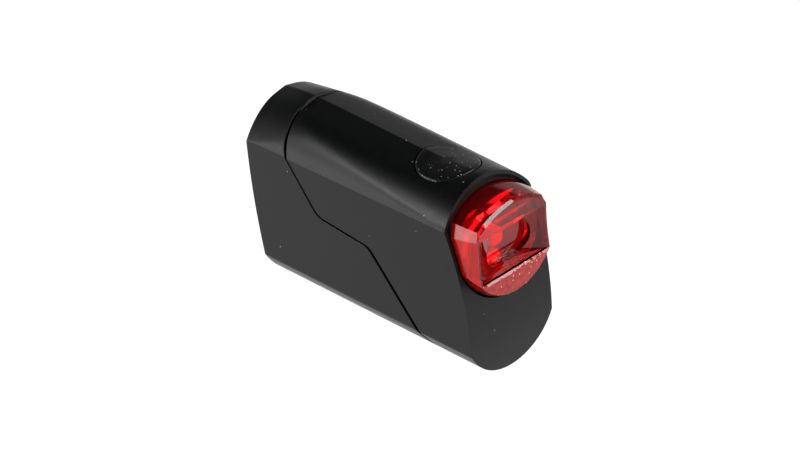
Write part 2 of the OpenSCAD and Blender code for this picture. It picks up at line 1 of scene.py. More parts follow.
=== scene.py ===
"""Looks of a battery rear light for a bicycle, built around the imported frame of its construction.

Sizes are in millimetres, in the frame of the construction: Z is up and the lens faces -Y.
Meshes are scaled to metres when they are made.
"""
import logging
import math
from dataclasses import dataclass, field
from enum import Enum, IntEnum
from typing import Callable, Optional, Union

import bmesh
import bpy
import numpy as np
from mathutils import Matrix, Vector


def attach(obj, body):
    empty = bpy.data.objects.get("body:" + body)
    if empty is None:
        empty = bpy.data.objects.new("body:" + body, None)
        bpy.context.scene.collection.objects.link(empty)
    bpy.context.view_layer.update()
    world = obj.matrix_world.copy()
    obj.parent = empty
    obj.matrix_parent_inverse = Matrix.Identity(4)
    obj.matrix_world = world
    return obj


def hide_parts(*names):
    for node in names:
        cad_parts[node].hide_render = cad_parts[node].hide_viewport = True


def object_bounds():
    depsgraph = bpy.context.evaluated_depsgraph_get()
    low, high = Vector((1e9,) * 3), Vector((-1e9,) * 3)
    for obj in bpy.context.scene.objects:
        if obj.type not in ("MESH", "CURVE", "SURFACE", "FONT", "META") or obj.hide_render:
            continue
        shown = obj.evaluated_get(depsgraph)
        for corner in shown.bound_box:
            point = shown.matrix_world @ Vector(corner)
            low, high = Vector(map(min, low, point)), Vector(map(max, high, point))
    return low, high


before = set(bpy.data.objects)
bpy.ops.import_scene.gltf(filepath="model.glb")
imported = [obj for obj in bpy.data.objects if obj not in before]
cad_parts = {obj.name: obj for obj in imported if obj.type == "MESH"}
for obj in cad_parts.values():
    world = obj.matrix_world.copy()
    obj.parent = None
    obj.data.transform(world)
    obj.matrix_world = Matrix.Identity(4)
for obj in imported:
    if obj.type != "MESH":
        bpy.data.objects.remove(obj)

CAD_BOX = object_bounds()
LOG = logging.getLogger("rear_light")
MM = 0.001
# Points closer together than this are welded
WELD_MM = 0.002
# An edge closer to a surface than this belongs to it
NEAR_MM = 0.1
# An edge folded by fewer degrees than this isn't rounded
SMOOTH_FOLD = 15.0
SOLVE_STEPS = 60
SPREAD_STEPS = 400
ROUND_SEGMENTS = 4
MIRROR = np.array([-1, 1, 1])
# Row of a skin at either end
REAR, FRONT = 0, -1
# Numbers of the sockets of a colour mix and of a range map
MIX_SHARE, MIX_A, MIX_B, MIX_RESULT = 0, 6, 7, 2
FROM_MIN, FROM_MAX, TO_MIN, TO_MAX = 1, 2, 3, 4
Number = Union[float, np.ndarray]
Piece = bpy.types.Object
Socket = bpy.types.NodeSocket


def coords(*parts: Number) -> np.ndarray:
    """Returns points from their coordinates, each a number or an array, brought to one shape."""
    return np.stack(np.broadcast_arrays(*parts), axis=-1)


def unit(ways: np.ndarray) -> np.ndarray:
    """Returns directions, each brought to a length of one."""
    return ways / np.linalg.norm(ways, axis=-1, keepdims=True)


def between(start: Number, end: Number, share: Number) -> Number:
    """Returns what lies at a share of the way from a start to an end."""
    return start + share * (end - start)


def arc(r: float, axis: float, turns: np.ndarray) -> np.ndarray:
    """Returns X and Z of points on an arc that hangs under its axis."""
    return coords(r * np.sin(turns), axis - r * np.cos(turns))


def soft_min(a: Number, b: Number, width: Number) -> Number:
    """Returns the lower of two heights, blended where they differ by less than about the width.

    Args:
        a: First height.
        b: Second height.
        width: Difference over which the two blend.

    Returns:
        The blended lower height.
    """
    return 0.5 * (a + b) - 0.5 * np.sqrt((a - b) ** 2 + width ** 2)


def solve(value: Callable[[float], float], low: float, high: float) -> float:
    """Finds where a rising or falling value crosses zero.

    Args:
        value: The function to solve.
        low: Lower end of the search.
        high: Upper end of the search.

    Returns:
        The place of the crossing.
    """
    sign = math.copysign(1.0, value(low))
    for _ in range(SOLVE_STEPS):
        middle = (low + high) / 2
        if value(middle) * sign > 0:
            low = middle
        else:
            high = middle
    return (low + high) / 2


def round_corner(before: np.ndarray, at: np.ndarray, after: np.ndarray, r: float,
                 steps: int) -> list[np.ndarray]:
    """Rounds a corner of a path in the plane.

    Args:
        before: A point on the line that comes in.
        at: The corner.
        after: A point on the line that goes out.
        r: Radius of the round corner.
        steps: Number of segments of the arc.

    Returns:
        Points along the arc.
    """
    u, v = unit(before - at), unit(after - at)
    half = math.acos(float(u @ v)) / 2
    centre = at + unit(u + v) * r / math.sin(half)
    first, last = (at + way * r / math.tan(half) - centre for way in (u, v))
    return [centre + r * unit(between(first, last, i / steps)) for i in range(steps + 1)]


def spread(profile: Callable[[np.ndarray], np.ndarray], low: float, high: float, count: int) -> np.ndarray:
    """Places stations evenly along a curved profile.

    Args:
        profile: Height of the profile at a station.
        low: First station.
        high: Last station.
        count: Number of equal steps.

    Returns:
        The stations, from low to high.
    """
    fine = np.linspace(low, high, SPREAD_STEPS)
    run = np.hypot(np.diff(fine), np.diff(profile(fine)))
    length = np.concatenate([[0.0], np.cumsum(run)])
    return np.interp(np.linspace(0, length[-1], count + 1), length, fine)


class End(Enum):
    """Where a skin of the body stops."""

    BACK = "back"
    SEAM = "seam"
    FRONT = "front"
    LEVEL = "level"


@dataclass(frozen=True)
class Stop:
    """An end of a skin: its kind, shift along Y, gap to the seam and extra gap on the arched top."""

    end: End
    shift: float = 0.0
    gap: float = 0.0
    flare: float = 0.0


@dataclass(frozen=True)
class BodyForm:
    """Outer shape of the light's body and of its seam."""

    half_w: float = 14.0
    crease: float = 14.0
    side_h: float = 30.0
    foot_half: float = 13.4
    bottom_r: float = 15.0
    ridge_h: float = 10.8
    shoulder_r: float = 16.0
    brow_h: float = 7.5
    brow_foot: float = 0.2
    brow_r: float = 17.0
    brow_slope: float = 2.7
    tail_h: float = 9.4
    tail_r: float = 21.0
    tail_slope: float = 7.1
    front_y: float = -60.5
    front_r: float = 86.0
    front_rake: float = 23.0
    visor_lean: float = 12.0
    back_r: float = 176.0
    back_bow_r: float = 120.0
    back_peak: float = 3.0
    seat_d: float = 2.1
    wall: float = 1.6
    seam_ridge: float = 7.5
    seam_crease: float = 11.6
    seam_knee: float = 20.7
    seam_knee_drop: float = 11.6
    seam_ankle: float = 36.8
    seam_ankle_drop: float = 13.3
    seam_toe_slope: float = 48.6
    seam_round: float = 4.0
    seam_gap: float = 0.58
    seam_shares: tuple[float, float, float, float] = (1.0, 1.0, 1.0, 1.45)
    seam_flare: float = 0.25
    seam_flare_run: float = 2.0
    slope_soft: float = 0.5
    crest_drop: float = 0.5
    crest_pitch: float = 10.0
    crest_soft: float = 0.7
    crest_end: float = 3.0
    crest_run: float = 12.0
    ridge_band: float = 0.3
    reach: float = 120.0
    seam_steps: int = 8
    end_margin: float = 0.2
    end_rows: int = 15

    def cover_seam(self) -> Stop:
        """Returns the cover's end at the seam."""
        return Stop(End.SEAM, gap=self.seam_gap, flare=self.seam_flare)

    def _fade(self, x: Number) -> Number:
        """Returns a share that falls from 1 at the ridge to 0 at the creases."""
        return np.clip(1 - (np.asarray(x) / self.half_w) ** 2, 0, 1)

    def _arch(self, x: Number, rise: float, r: float, inset: float, fold: Number = 1.0) -> Number:
        """Returns the height of two shoulder arcs over the crease, flattened by a share to a folded crest."""
        chord = math.hypot(self.half_w, rise)
        back = math.sqrt(r * r - chord * chord / 4)
        cx = rise / chord * back - self.half_w / 2
        cz = rise / 2 - self.half_w / chord * back
        arc = cz + np.sqrt((r - inset) ** 2 - (np.abs(x) + cx) ** 2)
        top = cz + math.sqrt((r - inset) ** 2 - cx ** 2) - self.crest_drop
        crest = top - np.abs(x) * math.tan(math.radians(self.crest_pitch))
        return arc + fold * (soft_min(arc, crest, self.crest_soft * self._fade(x)) - arc)

    def roof(self, x: Number, y: Number, inset: float = 0.0) -> Number:
        """Returns the height of the arched top, bowed along the body.

        Args:
            x: Place across the body.
            y: Place along the body.
            inset: How far the surface lies inside the outer one.

        Returns:
            The height Z.
        """
        level = self.crease + self._arch(x, self.ridge_h, self.shoulder_r, inset)
        fold = np.clip((y - self.front_y - self.crest_end) / self.crest_run, 0, 1)
        fall = math.radians(self.brow_slope)
        brow = (self.crease + self.brow_foot + (y - self.front_y) * math.tan(fall)
                + self._arch(x, self.brow_h - self.brow_foot, self.brow_r, inset, fold) / math.cos(fall))
        fall = math.radians(self.tail_slope)
        arch = self._arch(x, self.tail_h, self.tail_r, inset) / math.cos(fall)
        tail = self.crease - y * math.tan(fall) + arch
        blend = self.slope_soft * self._fade(x)
        return soft_min(soft_min(level, brow, blend), tail, blend)

    def across(self, y: float, inset: float, half: float, cols: int) -> np.ndarray:
        """Returns places across the arched top, spread evenly, with two more beside the ridge."""
        x = spread(lambda s: self.roof(s, y, inset), -half, half, cols)
        return np.sort(np.append(x, [-self.ridge_band, self.ridge_band]))

    def side_half(self, z: Number) -> Number:
        """Returns half the width between the flat sides at a height."""
        return self.half_w + (self.half_w - self.foot_half) * (z - self.crease) / self.side_h

    def bottom_axis(self) -> float:
        """Returns the height of the axis of the rounded underside."""
        return self.crease - self.side_h + math.sqrt(self.bottom_r ** 2 - self.foot_half ** 2)

    def side_turn(self, r: float, axis: float, inset: float) -> float:
        """Returns the angle at which an arc under its axis meets the flat sides of an inset section."""
        return solve(lambda a: r * math.sin(a) - self.side_half(axis - r * math.cos(a)) + inset,
                     0.0, math.pi / 2)

    def crease_point(self, inset: float) -> tuple[float, float]:
        """Returns X and Z of the right-hand crease of an inset section."""
        z = solve(lambda h: float(self.crease + self._arch(self.side_half(h) - inset, self.ridge_h,
                                                           self.shoulder_r, inset)) - h,
                  self.crease - self.side_h / 4, self.crease + self.ridge_h / 2)
        return float(self.side_half(z)) - inset, z

    def foot_point(self, inset: float) -> tuple[float, float]:
        """Returns X and Z of the right-hand lower corner of an inset section."""
        axis = self.bottom_axis()
        z = solve(lambda h: math.hypot(self.side_half(h) - inset, h - axis) - (self.bottom_r - inset),
                  axis, axis - self.bottom_r)
        return float(self.side_half(z)) - inset, z

    def front(self, z: Number) -> Number:
        """Returns Y of the front face at a height: bowed below the crease, leaning straight back above it."""
        rake = math.radians(self.front_rake)
        ay = self.front_y + self.front_r * math.cos(rake)
        az = self.crease - self.front_r * math.sin(rake)
        low = np.minimum(z, self.crease)
        lean = math.tan(math.radians(self.visor_lean)) * (z - low)
        return ay - np.sqrt(self.front_r ** 2 - (az - low) ** 2) + lean

    def back(self, x: Number, z: Number) -> Number:
        """Returns Y of the bowed rear end at a place across it and a height."""
        peak = self.crease + self.back_peak
        far = self.seat_d + self.back_r - math.sqrt(self.back_r ** 2 - peak ** 2)
        spoke = self.back_bow_r - self.back_r + np.sqrt(self.back_r ** 2 - (z - peak) ** 2)
        return far - self.back_bow_r + np.sqrt(spoke ** 2 - np.asarray(x) ** 2)

    def seam_path(self, gap: float = 0.0) -> np.ndarray:
        """Returns the seam in the YZ plane, from top to toe.

        Args:
            gap: How far the path lies on the cover's side of the seam.

        Returns:
            Its end points, corners and arcs.
        """
        crease = np.array([-self.seam_crease, self.crease])
        knee = np.array([-self.seam_knee, self.crease - self.seam_knee_drop])
        ankle = np.array([-self.seam_ankle, self.crease - self.seam_ankle_drop])
        slope = math.radians(self.seam_toe_slope)
        toe = ankle - self.reach * np.array([math.cos(slope), math.sin(slope)])
        top = crease + self.reach * np.array([(self.seam_crease - self.seam_ridge) / self.ridge_h, 1.0])
        corners = np.array([top, crease, knee, ankle, toe])
        runs = np.diff(corners, axis=0)
        square = unit(coords(-runs[:, 1], runs[:, 0]))
        gaps = gap * np.array(self.seam_shares)
        moved = [top + gaps[0] * square[0]]
        for i in range(len(runs) - 1):
            levels = [square[k] @ corners[i + 1] + gaps[k] for k in (i, i + 1)]
            moved.append(np.linalg.solve(square[i:i + 2], levels))
        moved.append(toe + gaps[-1] * square[-1])
        top, crease, knee, ankle, toe = moved
        inner = round_corner(crease, knee, ankle, self.seam_round + gap, self.seam_steps)
        outer = round_corner(knee, ankle, toe, self.seam_round - gap, self.seam_steps)
        return np.array([top, crease, *inner, *outer, toe])

    def stop_y(self, stop: Stop, x: Number, z: Number) -> Number:
        """Returns Y of a skin's end at a place across the body and a height."""
        if stop.end is End.BACK:
            return self.back(x, z) + stop.shift
        if stop.end is End.FRONT:
            return self.front(z) + stop.shift
        if stop.end is End.LEVEL:
            return np.zeros_like(np.asarray(z, float)) + stop.shift
        path = self.seam_path(stop.gap)[::-1]
        flare = stop.flare * np.clip((np.asarray(z) - self.crease) / self.seam_flare_run, 0, 1)
        return np.interp(z, path[:, 1], path[:, 0]) + stop.shift + flare

    def stop_levels(self, stop: Stop, top: float, foot: float) -> np.ndarray:
        """Returns the heights between crease and foot at which a skin's end has points."""
        if stop.end is End.SEAM:
            z = self.seam_path(stop.gap)[2:-1, 1]
            return z[(z < top - self.end_margin) & (z > foot + self.end_margin)]
        return np.linspace(top, foot, self.end_rows)[1:-1]


class MeshMaker:
    """Collects faces in millimetres and makes one welded mesh object in metres."""

    def __init__(self) -> None:
        """Starts with no faces."""
        self.points: list[tuple[float, float, float]] = []
        self.faces: list[list[int]] = []
        self.tags: list[int] = []

    def _keep(self, points: np.ndarray) -> int:
        """Keeps points and returns the number of the first."""
        start = len(self.points)
        self.points.extend(tuple(float(v) for v in p) for p in points.reshape(-1, 3))
        return start

    def polygon(self, points: np.ndarray, tag: int = 0) -> None:
        """Adds one face.

        Args:
            points: Its corners in order.
            tag: Index of the material.
        """
        start = self._keep(points)
        self.faces.append(list(range(start, start + len(points))))
        self.tags.append(int(tag))

    def grid(self, points: np.ndarray, closed: bool = False, tag: int = 0) -> None:
        """Adds a sheet of quads.

        Args:
            points: Rows and columns of points.
            closed: Whether the last column joins the first.
            tag: Index of the material.
        """
        start = self._keep(points)
        rows, cols = points.shape[:2]
        for i in range(rows - 1):
            for j in range(cols if closed else cols - 1):
                k = (j + 1) % cols
                corners = [i * cols + j, i * cols + k, (i + 1) * cols + k, (i + 1) * cols + j]
                self.faces.append([start + c for c in corners])
                self.tags.append(int(tag))

    def holed(self, sheet: np.ndarray, rows: tuple[int, int], cols: tuple[int, int]) -> np.ndarray:
        """Adds a sheet of quads with a hole in it.

        Args:
            sheet: Rows and columns of points.
            rows: First and last row of the hole.
            cols: First and last column of the hole.

        Returns:
            The loop of points round the hole.
        """
        (a, b), (c, d) = rows, cols
        for part in (sheet[:a + 1], sheet[b:], sheet[a:b + 1, :c + 1], sheet[a:b + 1, d:]):
            self.grid(part)
        return np.concatenate([sheet[a, c:d], sheet[a:b, d], sheet[b, d:c:-1], sheet[b:a:-1, c]])

    def make(self, name: str) -> Piece:
        """Welds the faces and makes the object.

        Args:
            name: Name of the piece.

        Returns:
            The new object, with its normals outwards.
        """
        mesh = bpy.data.meshes.new(name)
        mesh.from_pydata(self.points, [], self.faces)
        mesh.polygons.foreach_set("material_index", self.tags)
        bm = bmesh.new()
        bm.from_mesh(mesh)
        bmesh.ops.remove_doubles(bm, verts=bm.verts, dist=WELD_MM)
        bmesh.ops.dissolve_degenerate(bm, edges=bm.edges, dist=WELD_MM / 4)
        bmesh.ops.recalc_face_normals(bm, faces=bm.faces)
        bmesh.ops.scale(bm, vec=(MM, MM, MM), verts=bm.verts)
        bm.to_mesh(mesh)
        bm.free()
        mesh.shade_smooth()
        piece = bpy.data.objects.new(name, mesh)
        bpy.context.scene.collection.objects.link(piece)
        return piece


def applied(piece: Piece) -> Piece:
    """Turns a piece with modifiers into a plain mesh.

    Args:
        piece: The piece, whose modifiers are used up.

    Returns:
        The same piece.
    """
    bpy.context.view_layer.update()
    graph = bpy.context.evaluated_depsgraph_get()
    mesh = bpy.data.meshes.new_from_object(piece.evaluated_get(graph), depsgraph=graph)
    piece.modifiers.clear()
    old, piece.data = piece.data, mesh
    name = old.name
    bpy.data.meshes.remove(old)
    mesh.name = name
    return piece


def round_edges(piece: Piece, width: float, share: Callable[[Vector, float], float]) -> None:
    """Adds a rounding of the edges to a piece.

    Args:
        piece: The piece.
        width: Full width of the rounding in millimetres.
        share: Share of it for an edge, from its middle in millimetres and its fold in degrees.
    """
    bm = bmesh.new()
    bm.from_mesh(piece.data)
    layer = bm.edges.layers.float.new("bevel_weight_edge")
    for edge in bm.edges:
        if len(edge.link_faces) == 2:
            fold = math.degrees(edge.calc_face_angle(0.0))
            edge[layer] = share((edge.verts[0].co + edge.verts[1].co) / 2 / MM, fold)
    bm.to_mesh(piece.data)
    bm.free()
    rounding = piece.modifiers.new("rounded_edges", "BEVEL")
    rounding.width = width * MM
    rounding.segments = ROUND_SEGMENTS
    rounding.limit_method = "WEIGHT"
    rounding.miter_outer = "MITER_ARC"
    rounding.use_clamp_overlap = True


def soften(piece: Piece, sharp_deg: float = 40.0) -> Piece:
    """Shades a piece smooth, with flat faces kept flat and hard edges kept hard.

    Args:
        piece: The piece.
        sharp_deg: Fold from which an edge stays hard.

    Returns:
        The same piece.
    """
    piece.data.shade_smooth()
    piece.data.set_sharp_from_angle(angle=math.radians(sharp_deg))
    even = piece.modifiers.new("even_normals", "WEIGHTED_NORMAL")
    even.mode = "FACE_AREA"
    even.weight = 50
    even.keep_sharp = True
    return applied(piece)


@dataclass
class Skin:
    """A stretch of the body's surface between two ends, at one inset."""

    form: BodyForm
    inset: float
    rear: Stop
    front: Stop
    stations: np.ndarray = field(default_factory=lambda: np.linspace(0, 1, 13))
    cols: int = 36
    bottom_shares: tuple[float, ...] = tuple(np.linspace(1, -1, 25))
    passes: int = 8

    def __post_init__(self) -> None:
        """Works out the arched top, the underside and where both ends cross the flat sides."""
        form, r = self.form, self.form.bottom_r - self.inset
        xc, zc = form.crease_point(self.inset)
        xf, zf = form.foot_point(self.inset)
        x = form.across(form.front_y / 2, self.inset, xc, self.cols)
        low_x, low_z = arc(r, form.bottom_axis(), math.asin(xf / r) * np.array(self.bottom_shares)).T
        tops, feet, self.side_ends = [], [], []
        for stop in (self.rear, self.front):
            y = form.stop_y(stop, x, np.full_like(x, zc))
            for _ in range(self.passes):
                y = form.stop_y(stop, x, form.roof(x, y, self.inset))
            tops.append(y)
            feet.append(form.stop_y(stop, low_x, low_z))
            z = form.stop_levels(stop, zc, zf)
            half = form.side_half(z) - self.inset
            self.side_ends.append(coords(half, form.stop_y(stop, half, z), z))
        y = between(*tops, self.stations[:, None])
        self.top = coords(x, y, form.roof(x, y, self.inset))
        self.under = coords(low_x, between(*feet, self.stations[:, None]), low_z)

    def loop(self, end: int) -> np.ndarray:
        """Returns the closed loop of points round the body at the rear or front end."""
        side = self.side_ends[end]
        return np.concatenate([self.top[end], side, self.under[end], side[::-1] * MIRROR])

    def add_to(self, maker: MeshMaker, with_top: bool = True) -> None:
        """Adds the faces of the skin.

        Args:
            maker: Where the faces go.
            with_top: Whether the arched top is added too.
        """
        if with_top:
            maker.grid(self.top)
        maker.grid(self.under)
        right = np.concatenate([self.top[:, -1], self.side_ends[FRONT], self.under[::-1, 0],
                                self.side_ends[REAR][::-1]])
        maker.polygon(right)
        maker.polygon(right[::-1] * MIRROR)


def band(maker: MeshMaker, form: BodyForm, outer: float, inner: float, low: float, high: float) -> None:
    """Adds a closed ring of wall along the seam.

    Args:
        maker: Where the faces go.
        form: The body.
        outer: Inset of its outer face.
        inner: Inset of its inner face.
        low: Shift of its lens end along Y.
        high: Shift of its seat end along Y.
    """
    skins = [Skin(form, inset, Stop(End.SEAM, high), Stop(End.SEAM, low), np.linspace(0, 1, 3))
             for inset in (outer, inner)]
    for skin in skins:
        skin.add_to(maker)
    for end in (REAR, FRONT):
        maker.grid(np.stack([skin.loop(end) for skin in skins]), closed=True)


def lathe(maker: MeshMaker, profile: list[tuple[float, float]], place: Callable[[np.ndarray], np.ndarray],
          around: int = 48, tag: int = 0) -> None:
    """Adds a turned shape.

    Args:
        maker: Where the faces go.
        profile: Radius and height of each ring. A radius of zero closes an end.
        place: Turns X, Y and height of the turned shape into places in the frame.
        around: Number of points in a ring.
        tag: Index of the material.
    """
    turn = np.linspace(0, 2 * math.pi, around, endpoint=False)
    rings = [place(coords(r * np.cos(turn), r * np.sin(turn), h))
             for r, h in profile if r > 0]
    maker.grid(np.stack(rings), closed=True, tag=tag)
    for end, ring in ((profile[0], rings[0]), (profile[-1], rings[-1])):
        if end[0] == 0:
            maker.polygon(ring, tag)


@dataclass
class BatteryCover:
    """Rear and lower shell, with the seat and slot for the bracket in its rear end."""

    form: BodyForm
    rear_round: float = 0.9
    crease_round: float = 0.55
    seam_round: float = 0.3
    seam_near: float = 0.3
    cavity_y: float = -4.6
    middle_drop: float = 0.4
    ring_shares: tuple[float, ...] = (1.0, 0.8, 0.55, 0.3, 0.12)
    seat_w: float = 19.0
    seat_h: float = 16.0
    seat_reach: float = 10.0
    neck_w: float = 7.0
    neck_d: float = 1.4
    head_w: float = 11.0
    head_d: float = 1.6
    slot_top: float = 7.0
    slot_foot: float = -60.0
    overlap: float = 0.1

    def build(self) -> Piece:
        """Builds the shell and cuts the seat and slot.

        Returns:
            The piece.
        """
        form = self.form
        outer = Skin(form, 0.0, Stop(End.BACK), form.cover_seam())
        inner = Skin(form, form.wall, Stop(End.LEVEL, self.cavity_y), form.cover_seam())
        maker = MeshMaker()
        outer.add_to(maker)
        inner.add_to(maker)
        maker.grid(np.stack([outer.loop(FRONT), inner.loop(FRONT)]), closed=True)
        maker.polygon(inner.loop(REAR))
        centre = np.array([0.0, 0.0, form.crease - form.side_h * self.middle_drop])
        rings = [between(centre, outer.loop(REAR), share) for share in self.ring_shares]
        for ring in rings:
            ring[:, 1] = form.back(ring[:, 0], ring[:, 2])
        maker.grid(np.stack(rings), closed=True)
        maker.polygon(rings[-1])
        piece = maker.make("battery_cover_shell")
        round_edges(piece, self.rear_round, self._share)
        slot, neck = (self.slot_foot, self.slot_top), -self.neck_d
        cutters = [self._box(self.seat_w, (0.0, self.seat_reach), (-self.seat_h / 2, self.seat_h / 2)),
                   self._box(self.neck_w, (neck - self.overlap, self.overlap), slot),
                   self._box(self.head_w, (neck - self.head_d, neck), slot)]
        for cutter in cutters:
            cut = piece.modifiers.new("bracket_cut", "BOOLEAN")
            cut.operation = "DIFFERENCE"
            cut.solver = "EXACT"
            cut.object = cutter
        applied(piece)
        for cutter in cutters:
            bpy.data.objects.remove(cutter)
        return soften(piece)

    def _box(self, width: float, y: tuple[float, float], z: tuple[float, float]) -> Piece:
        """Returns a box that is centred across the body, to cut with."""
        maker = MeshMaker()
        x = np.array([-width, width, width, -width]) / 2
        loops = coords(x, np.array(y)[:, None], np.repeat(z, 2))
        maker.grid(loops, closed=True)
        for loop in loops:
            maker.polygon(loop)
        return maker.make("bracket_cutter")

    def _share(self, middle: Vector, fold: float) -> float:
        """Returns the share of the rounding for an edge of the shell."""
        if fold < SMOOTH_FOLD:
            return 0.0
        seam_y = float(self.form.stop_y(self.form.cover_seam(), middle.x, middle.z))
        if abs(middle.y - seam_y) < self.seam_near:
            return self.seam_round / self.rear_round
        if abs(middle.y - float(self.form.back(middle.x, middle.z))) < NEAR_MM:
            return 1.0
        return self.crease_round / self.rear_round


@dataclass
class LensHousing:
    """Upper and front shell, with the lens opening, the button's hole and a lip along the seam."""

    form: BodyForm
    crease_round: float = 0.55
    rim_round: float = 0.22
    sharp_fold: float = 60.0
    foot_margin: float = 0.05
    lens_rim: float = 0.8
    lens_foot: float = 19.7
    lens_foot_r: float = 13.4
    button_y: float = -48.8
    hole_r: float = 7.6
    hole_rings: int = 5
    lip_reach: float = 2.4
    lip_t: float = 0.7
    lip_play: float = 0.3
    lip_root: float = 0.1
    lip_step: float = -0.05
    patch_x: float = 9.8
    patch_rear: float = -38.6
    patch_front: float = -57.7
    rear_rows: int = 13
    patch_rows: int = 17
    front_cols: int = 24
    front_rows: int = 8
    side_rows: int = 6
    middle_y: float = -35.0

    def foot_axis(self) -> float:
        """Returns the height of the axis of the opening's round foot."""
        return self.form.crease - self.lens_foot + self.lens_foot_r

    def opening_turn(self) -> float:
        """Returns the angle at which the opening's round foot leaves its straight sides."""
        return self.form.side_turn(self.lens_foot_r, self.foot_axis(), self.lens_rim)

    def build(self) -> Piece:
        """Builds the shell with its wall, its lip and its rounded edges.

        Returns:
            The piece.
        """
        form = self.form
        full = math.asin(form.foot_half / form.bottom_r)
        share = form.side_turn(form.bottom_r, form.bottom_axis(), self.lens_rim) / full
        shares = (1.0, *np.linspace(share, -share, self.front_cols + 1), -1.0)
        rear, front = -form.seam_ridge, float(form.front(form.roof(0.0, form.front_y)))
        y = np.concatenate([np.linspace(rear, self.patch_rear, self.rear_rows),
                            np.linspace(self.patch_rear, self.patch_front, self.patch_rows)[1:], [front]])
        skin = Skin(form, 0.0, Stop(End.SEAM), Stop(End.FRONT), (y - rear) / (front - rear),
                    bottom_shares=shares)
        self._set_front_levels(skin)
        maker = MeshMaker()
        skin.add_to(maker, with_top=False)
        self._add_top(maker, skin.top)
        self._add_front(maker, skin)
        piece = maker.make("lens_housing_shell")
        self._face_outwards(piece)
        wall = piece.modifiers.new("wall", "SOLIDIFY")
        wall.thickness = form.wall * MM
        wall.offset = -1.0
        wall.use_even_offset = True
        wall.use_quality_normals = True
        applied(piece)
        round_edges(piece, self.crease_round, self._share)
        applied(piece)
        self._join_lip(piece)
        return soften(piece)

    def _set_front_levels(self, skin: Skin) -> None:
        """Puts the points of the front edge level with the rows of the front face."""
        form = self.form
        top, foot = form.crease_point(0.0)[1], form.foot_point(0.0)[1]
        bend = self.foot_axis() - self.lens_foot_r * math.cos(self.opening_turn())
        z = np.concatenate([np.linspace(top, bend, self.side_rows + 1)[1:],
                            np.linspace(bend, foot, self.front_rows)[1:-1]])
        skin.side_ends[FRONT] = coords(form.side_half(z), form.front(z), z)

    def _add_top(self, maker: MeshMaker, top: np.ndarray) -> None:
        """Adds the arched top with the round hole for the button."""
        along, across = top[:, top.shape[1] // 2, 1], top[0, :, 0]
        rows = [int(np.argmin(np.abs(along - y))) for y in (self.patch_rear, self.patch_front)]
        cols = [int(np.argmin(np.abs(across - x))) for x in (-self.patch_x, self.patch_x)]
        loop = maker.holed(top, rows, cols)
        centre = np.array([0.0, self.button_y])
        spokes = loop[:, :2] - centre
        length = np.linalg.norm(spokes, axis=1, keepdims=True)
        rings = []
        for share in np.linspace(0, 1, self.hole_rings)[:-1]:
            x, y = (centre + spokes / length * between(self.hole_r, length, share)).T
            rings.append(coords(x, y, self.form.roof(x, y)))
        maker.grid(np.stack([*rings, loop]), closed=True)

    def _add_front(self, maker: MeshMaker, skin: Skin) -> None:
        """Adds the front face round and below the lens opening."""
        form = self.form
        x = form.across(form.front_y, self.lens_rim, form.crease_point(self.lens_rim)[0], skin.cols)
        z = form.roof(x, form.front_y, self.lens_rim)
        inner_top = coords(x, form.front(z), z)
        maker.grid(np.stack([skin.top[FRONT], inner_top]))
        right = np.concatenate([skin.top[FRONT, -1:], skin.side_ends[FRONT], skin.under[FRONT, :1]])
        inner = coords(form.side_half(right[:, 2]) - self.lens_rim, right[:, 1], right[:, 2])
        inner[0] = inner_top[-1]
        end = skin.under[FRONT, 1]
        for flip in (np.ones(3), MIRROR):
            maker.grid(np.stack([right, inner]) * flip)
            maker.polygon(np.stack([right[-1], end, inner[-1]]) * flip)
        turn = self.opening_turn()
        rim = arc(self.lens_foot_r, self.foot_axis(), np.linspace(turn, -turn, self.front_cols + 1))
        floor = skin.under[FRONT, 1:-1][:, [0, 2]]
        edge = np.concatenate([inner[self.side_rows:], [end]])[:, [0, 2]]
        along = (edge[:, 1] - edge[0, 1]) / (edge[-1, 1] - edge[0, 1])
        xz = between(rim, floor, along[:, None, None])
        xz[:, 0] = edge
        xz[:, -1] = edge * MIRROR[:2]
        xz[0], xz[-1] = rim, floor
        maker.grid(coords(xz[..., 0], form.front(xz[..., 1]), xz[..., 1]))

    def _face_outwards(self, piece: Piece) -> None:
        """Turns the open skin's faces away from the middle of the body."""
        centre = Vector((0.0, self.middle_y, 0.0)) * MM
        if sum(f.area * f.normal.dot(f.center - centre) for f in piece.data.polygons) < 0:
            piece.data.flip_normals()

    def _share(self, middle: Vector, fold: float) -> float:
        """Returns the share of the rounding for an edge of the shell."""
        if fold < SMOOTH_FOLD:
            return 0.0
        sharp = fold > self.sharp_fold and not self._frames_front(middle)
        return self.rim_round / self.crease_round if sharp else 1.0

    def _frames_front(self, middle: Vector) -> bool:
        """Tells whether an edge's middle lies on the outer edge of the front face, below the crease."""
        form = self.form
        if middle.z > form.crease or abs(middle.y - float(form.front(middle.z))) >= NEAR_MM:
            return False
        if abs(abs(middle.x) - float(form.side_half(middle.z))) < NEAR_MM:
            return True
        reach = math.hypot(middle.x, middle.z - form.bottom_axis())
        low = middle.z < form.crease - form.side_h - self.foot_margin
        return low and abs(reach - form.bottom_r) < NEAR_MM

    def _join_lip(self, piece: Piece) -> None:
        """Joins the locating lip, which reaches into the cover, to the shell."""
        form = self.form
        outer = form.wall + self.lip_play
        maker = MeshMaker()
        band(maker, form, form.wall - self.lip_root, outer + self.lip_t, -self.lip_reach, self.lip_step)
        band(maker, form, outer, outer + self.lip_t, self.lip_step, self.lip_reach)
        lip = maker.make("locating_lip")
        bm = bmesh.new()
        bm.from_mesh(piece.data)
        bm.from_mesh(lip.data)
        bm.to_mesh(piece.data)
        bm.free()
        bpy.data.objects.remove(lip)


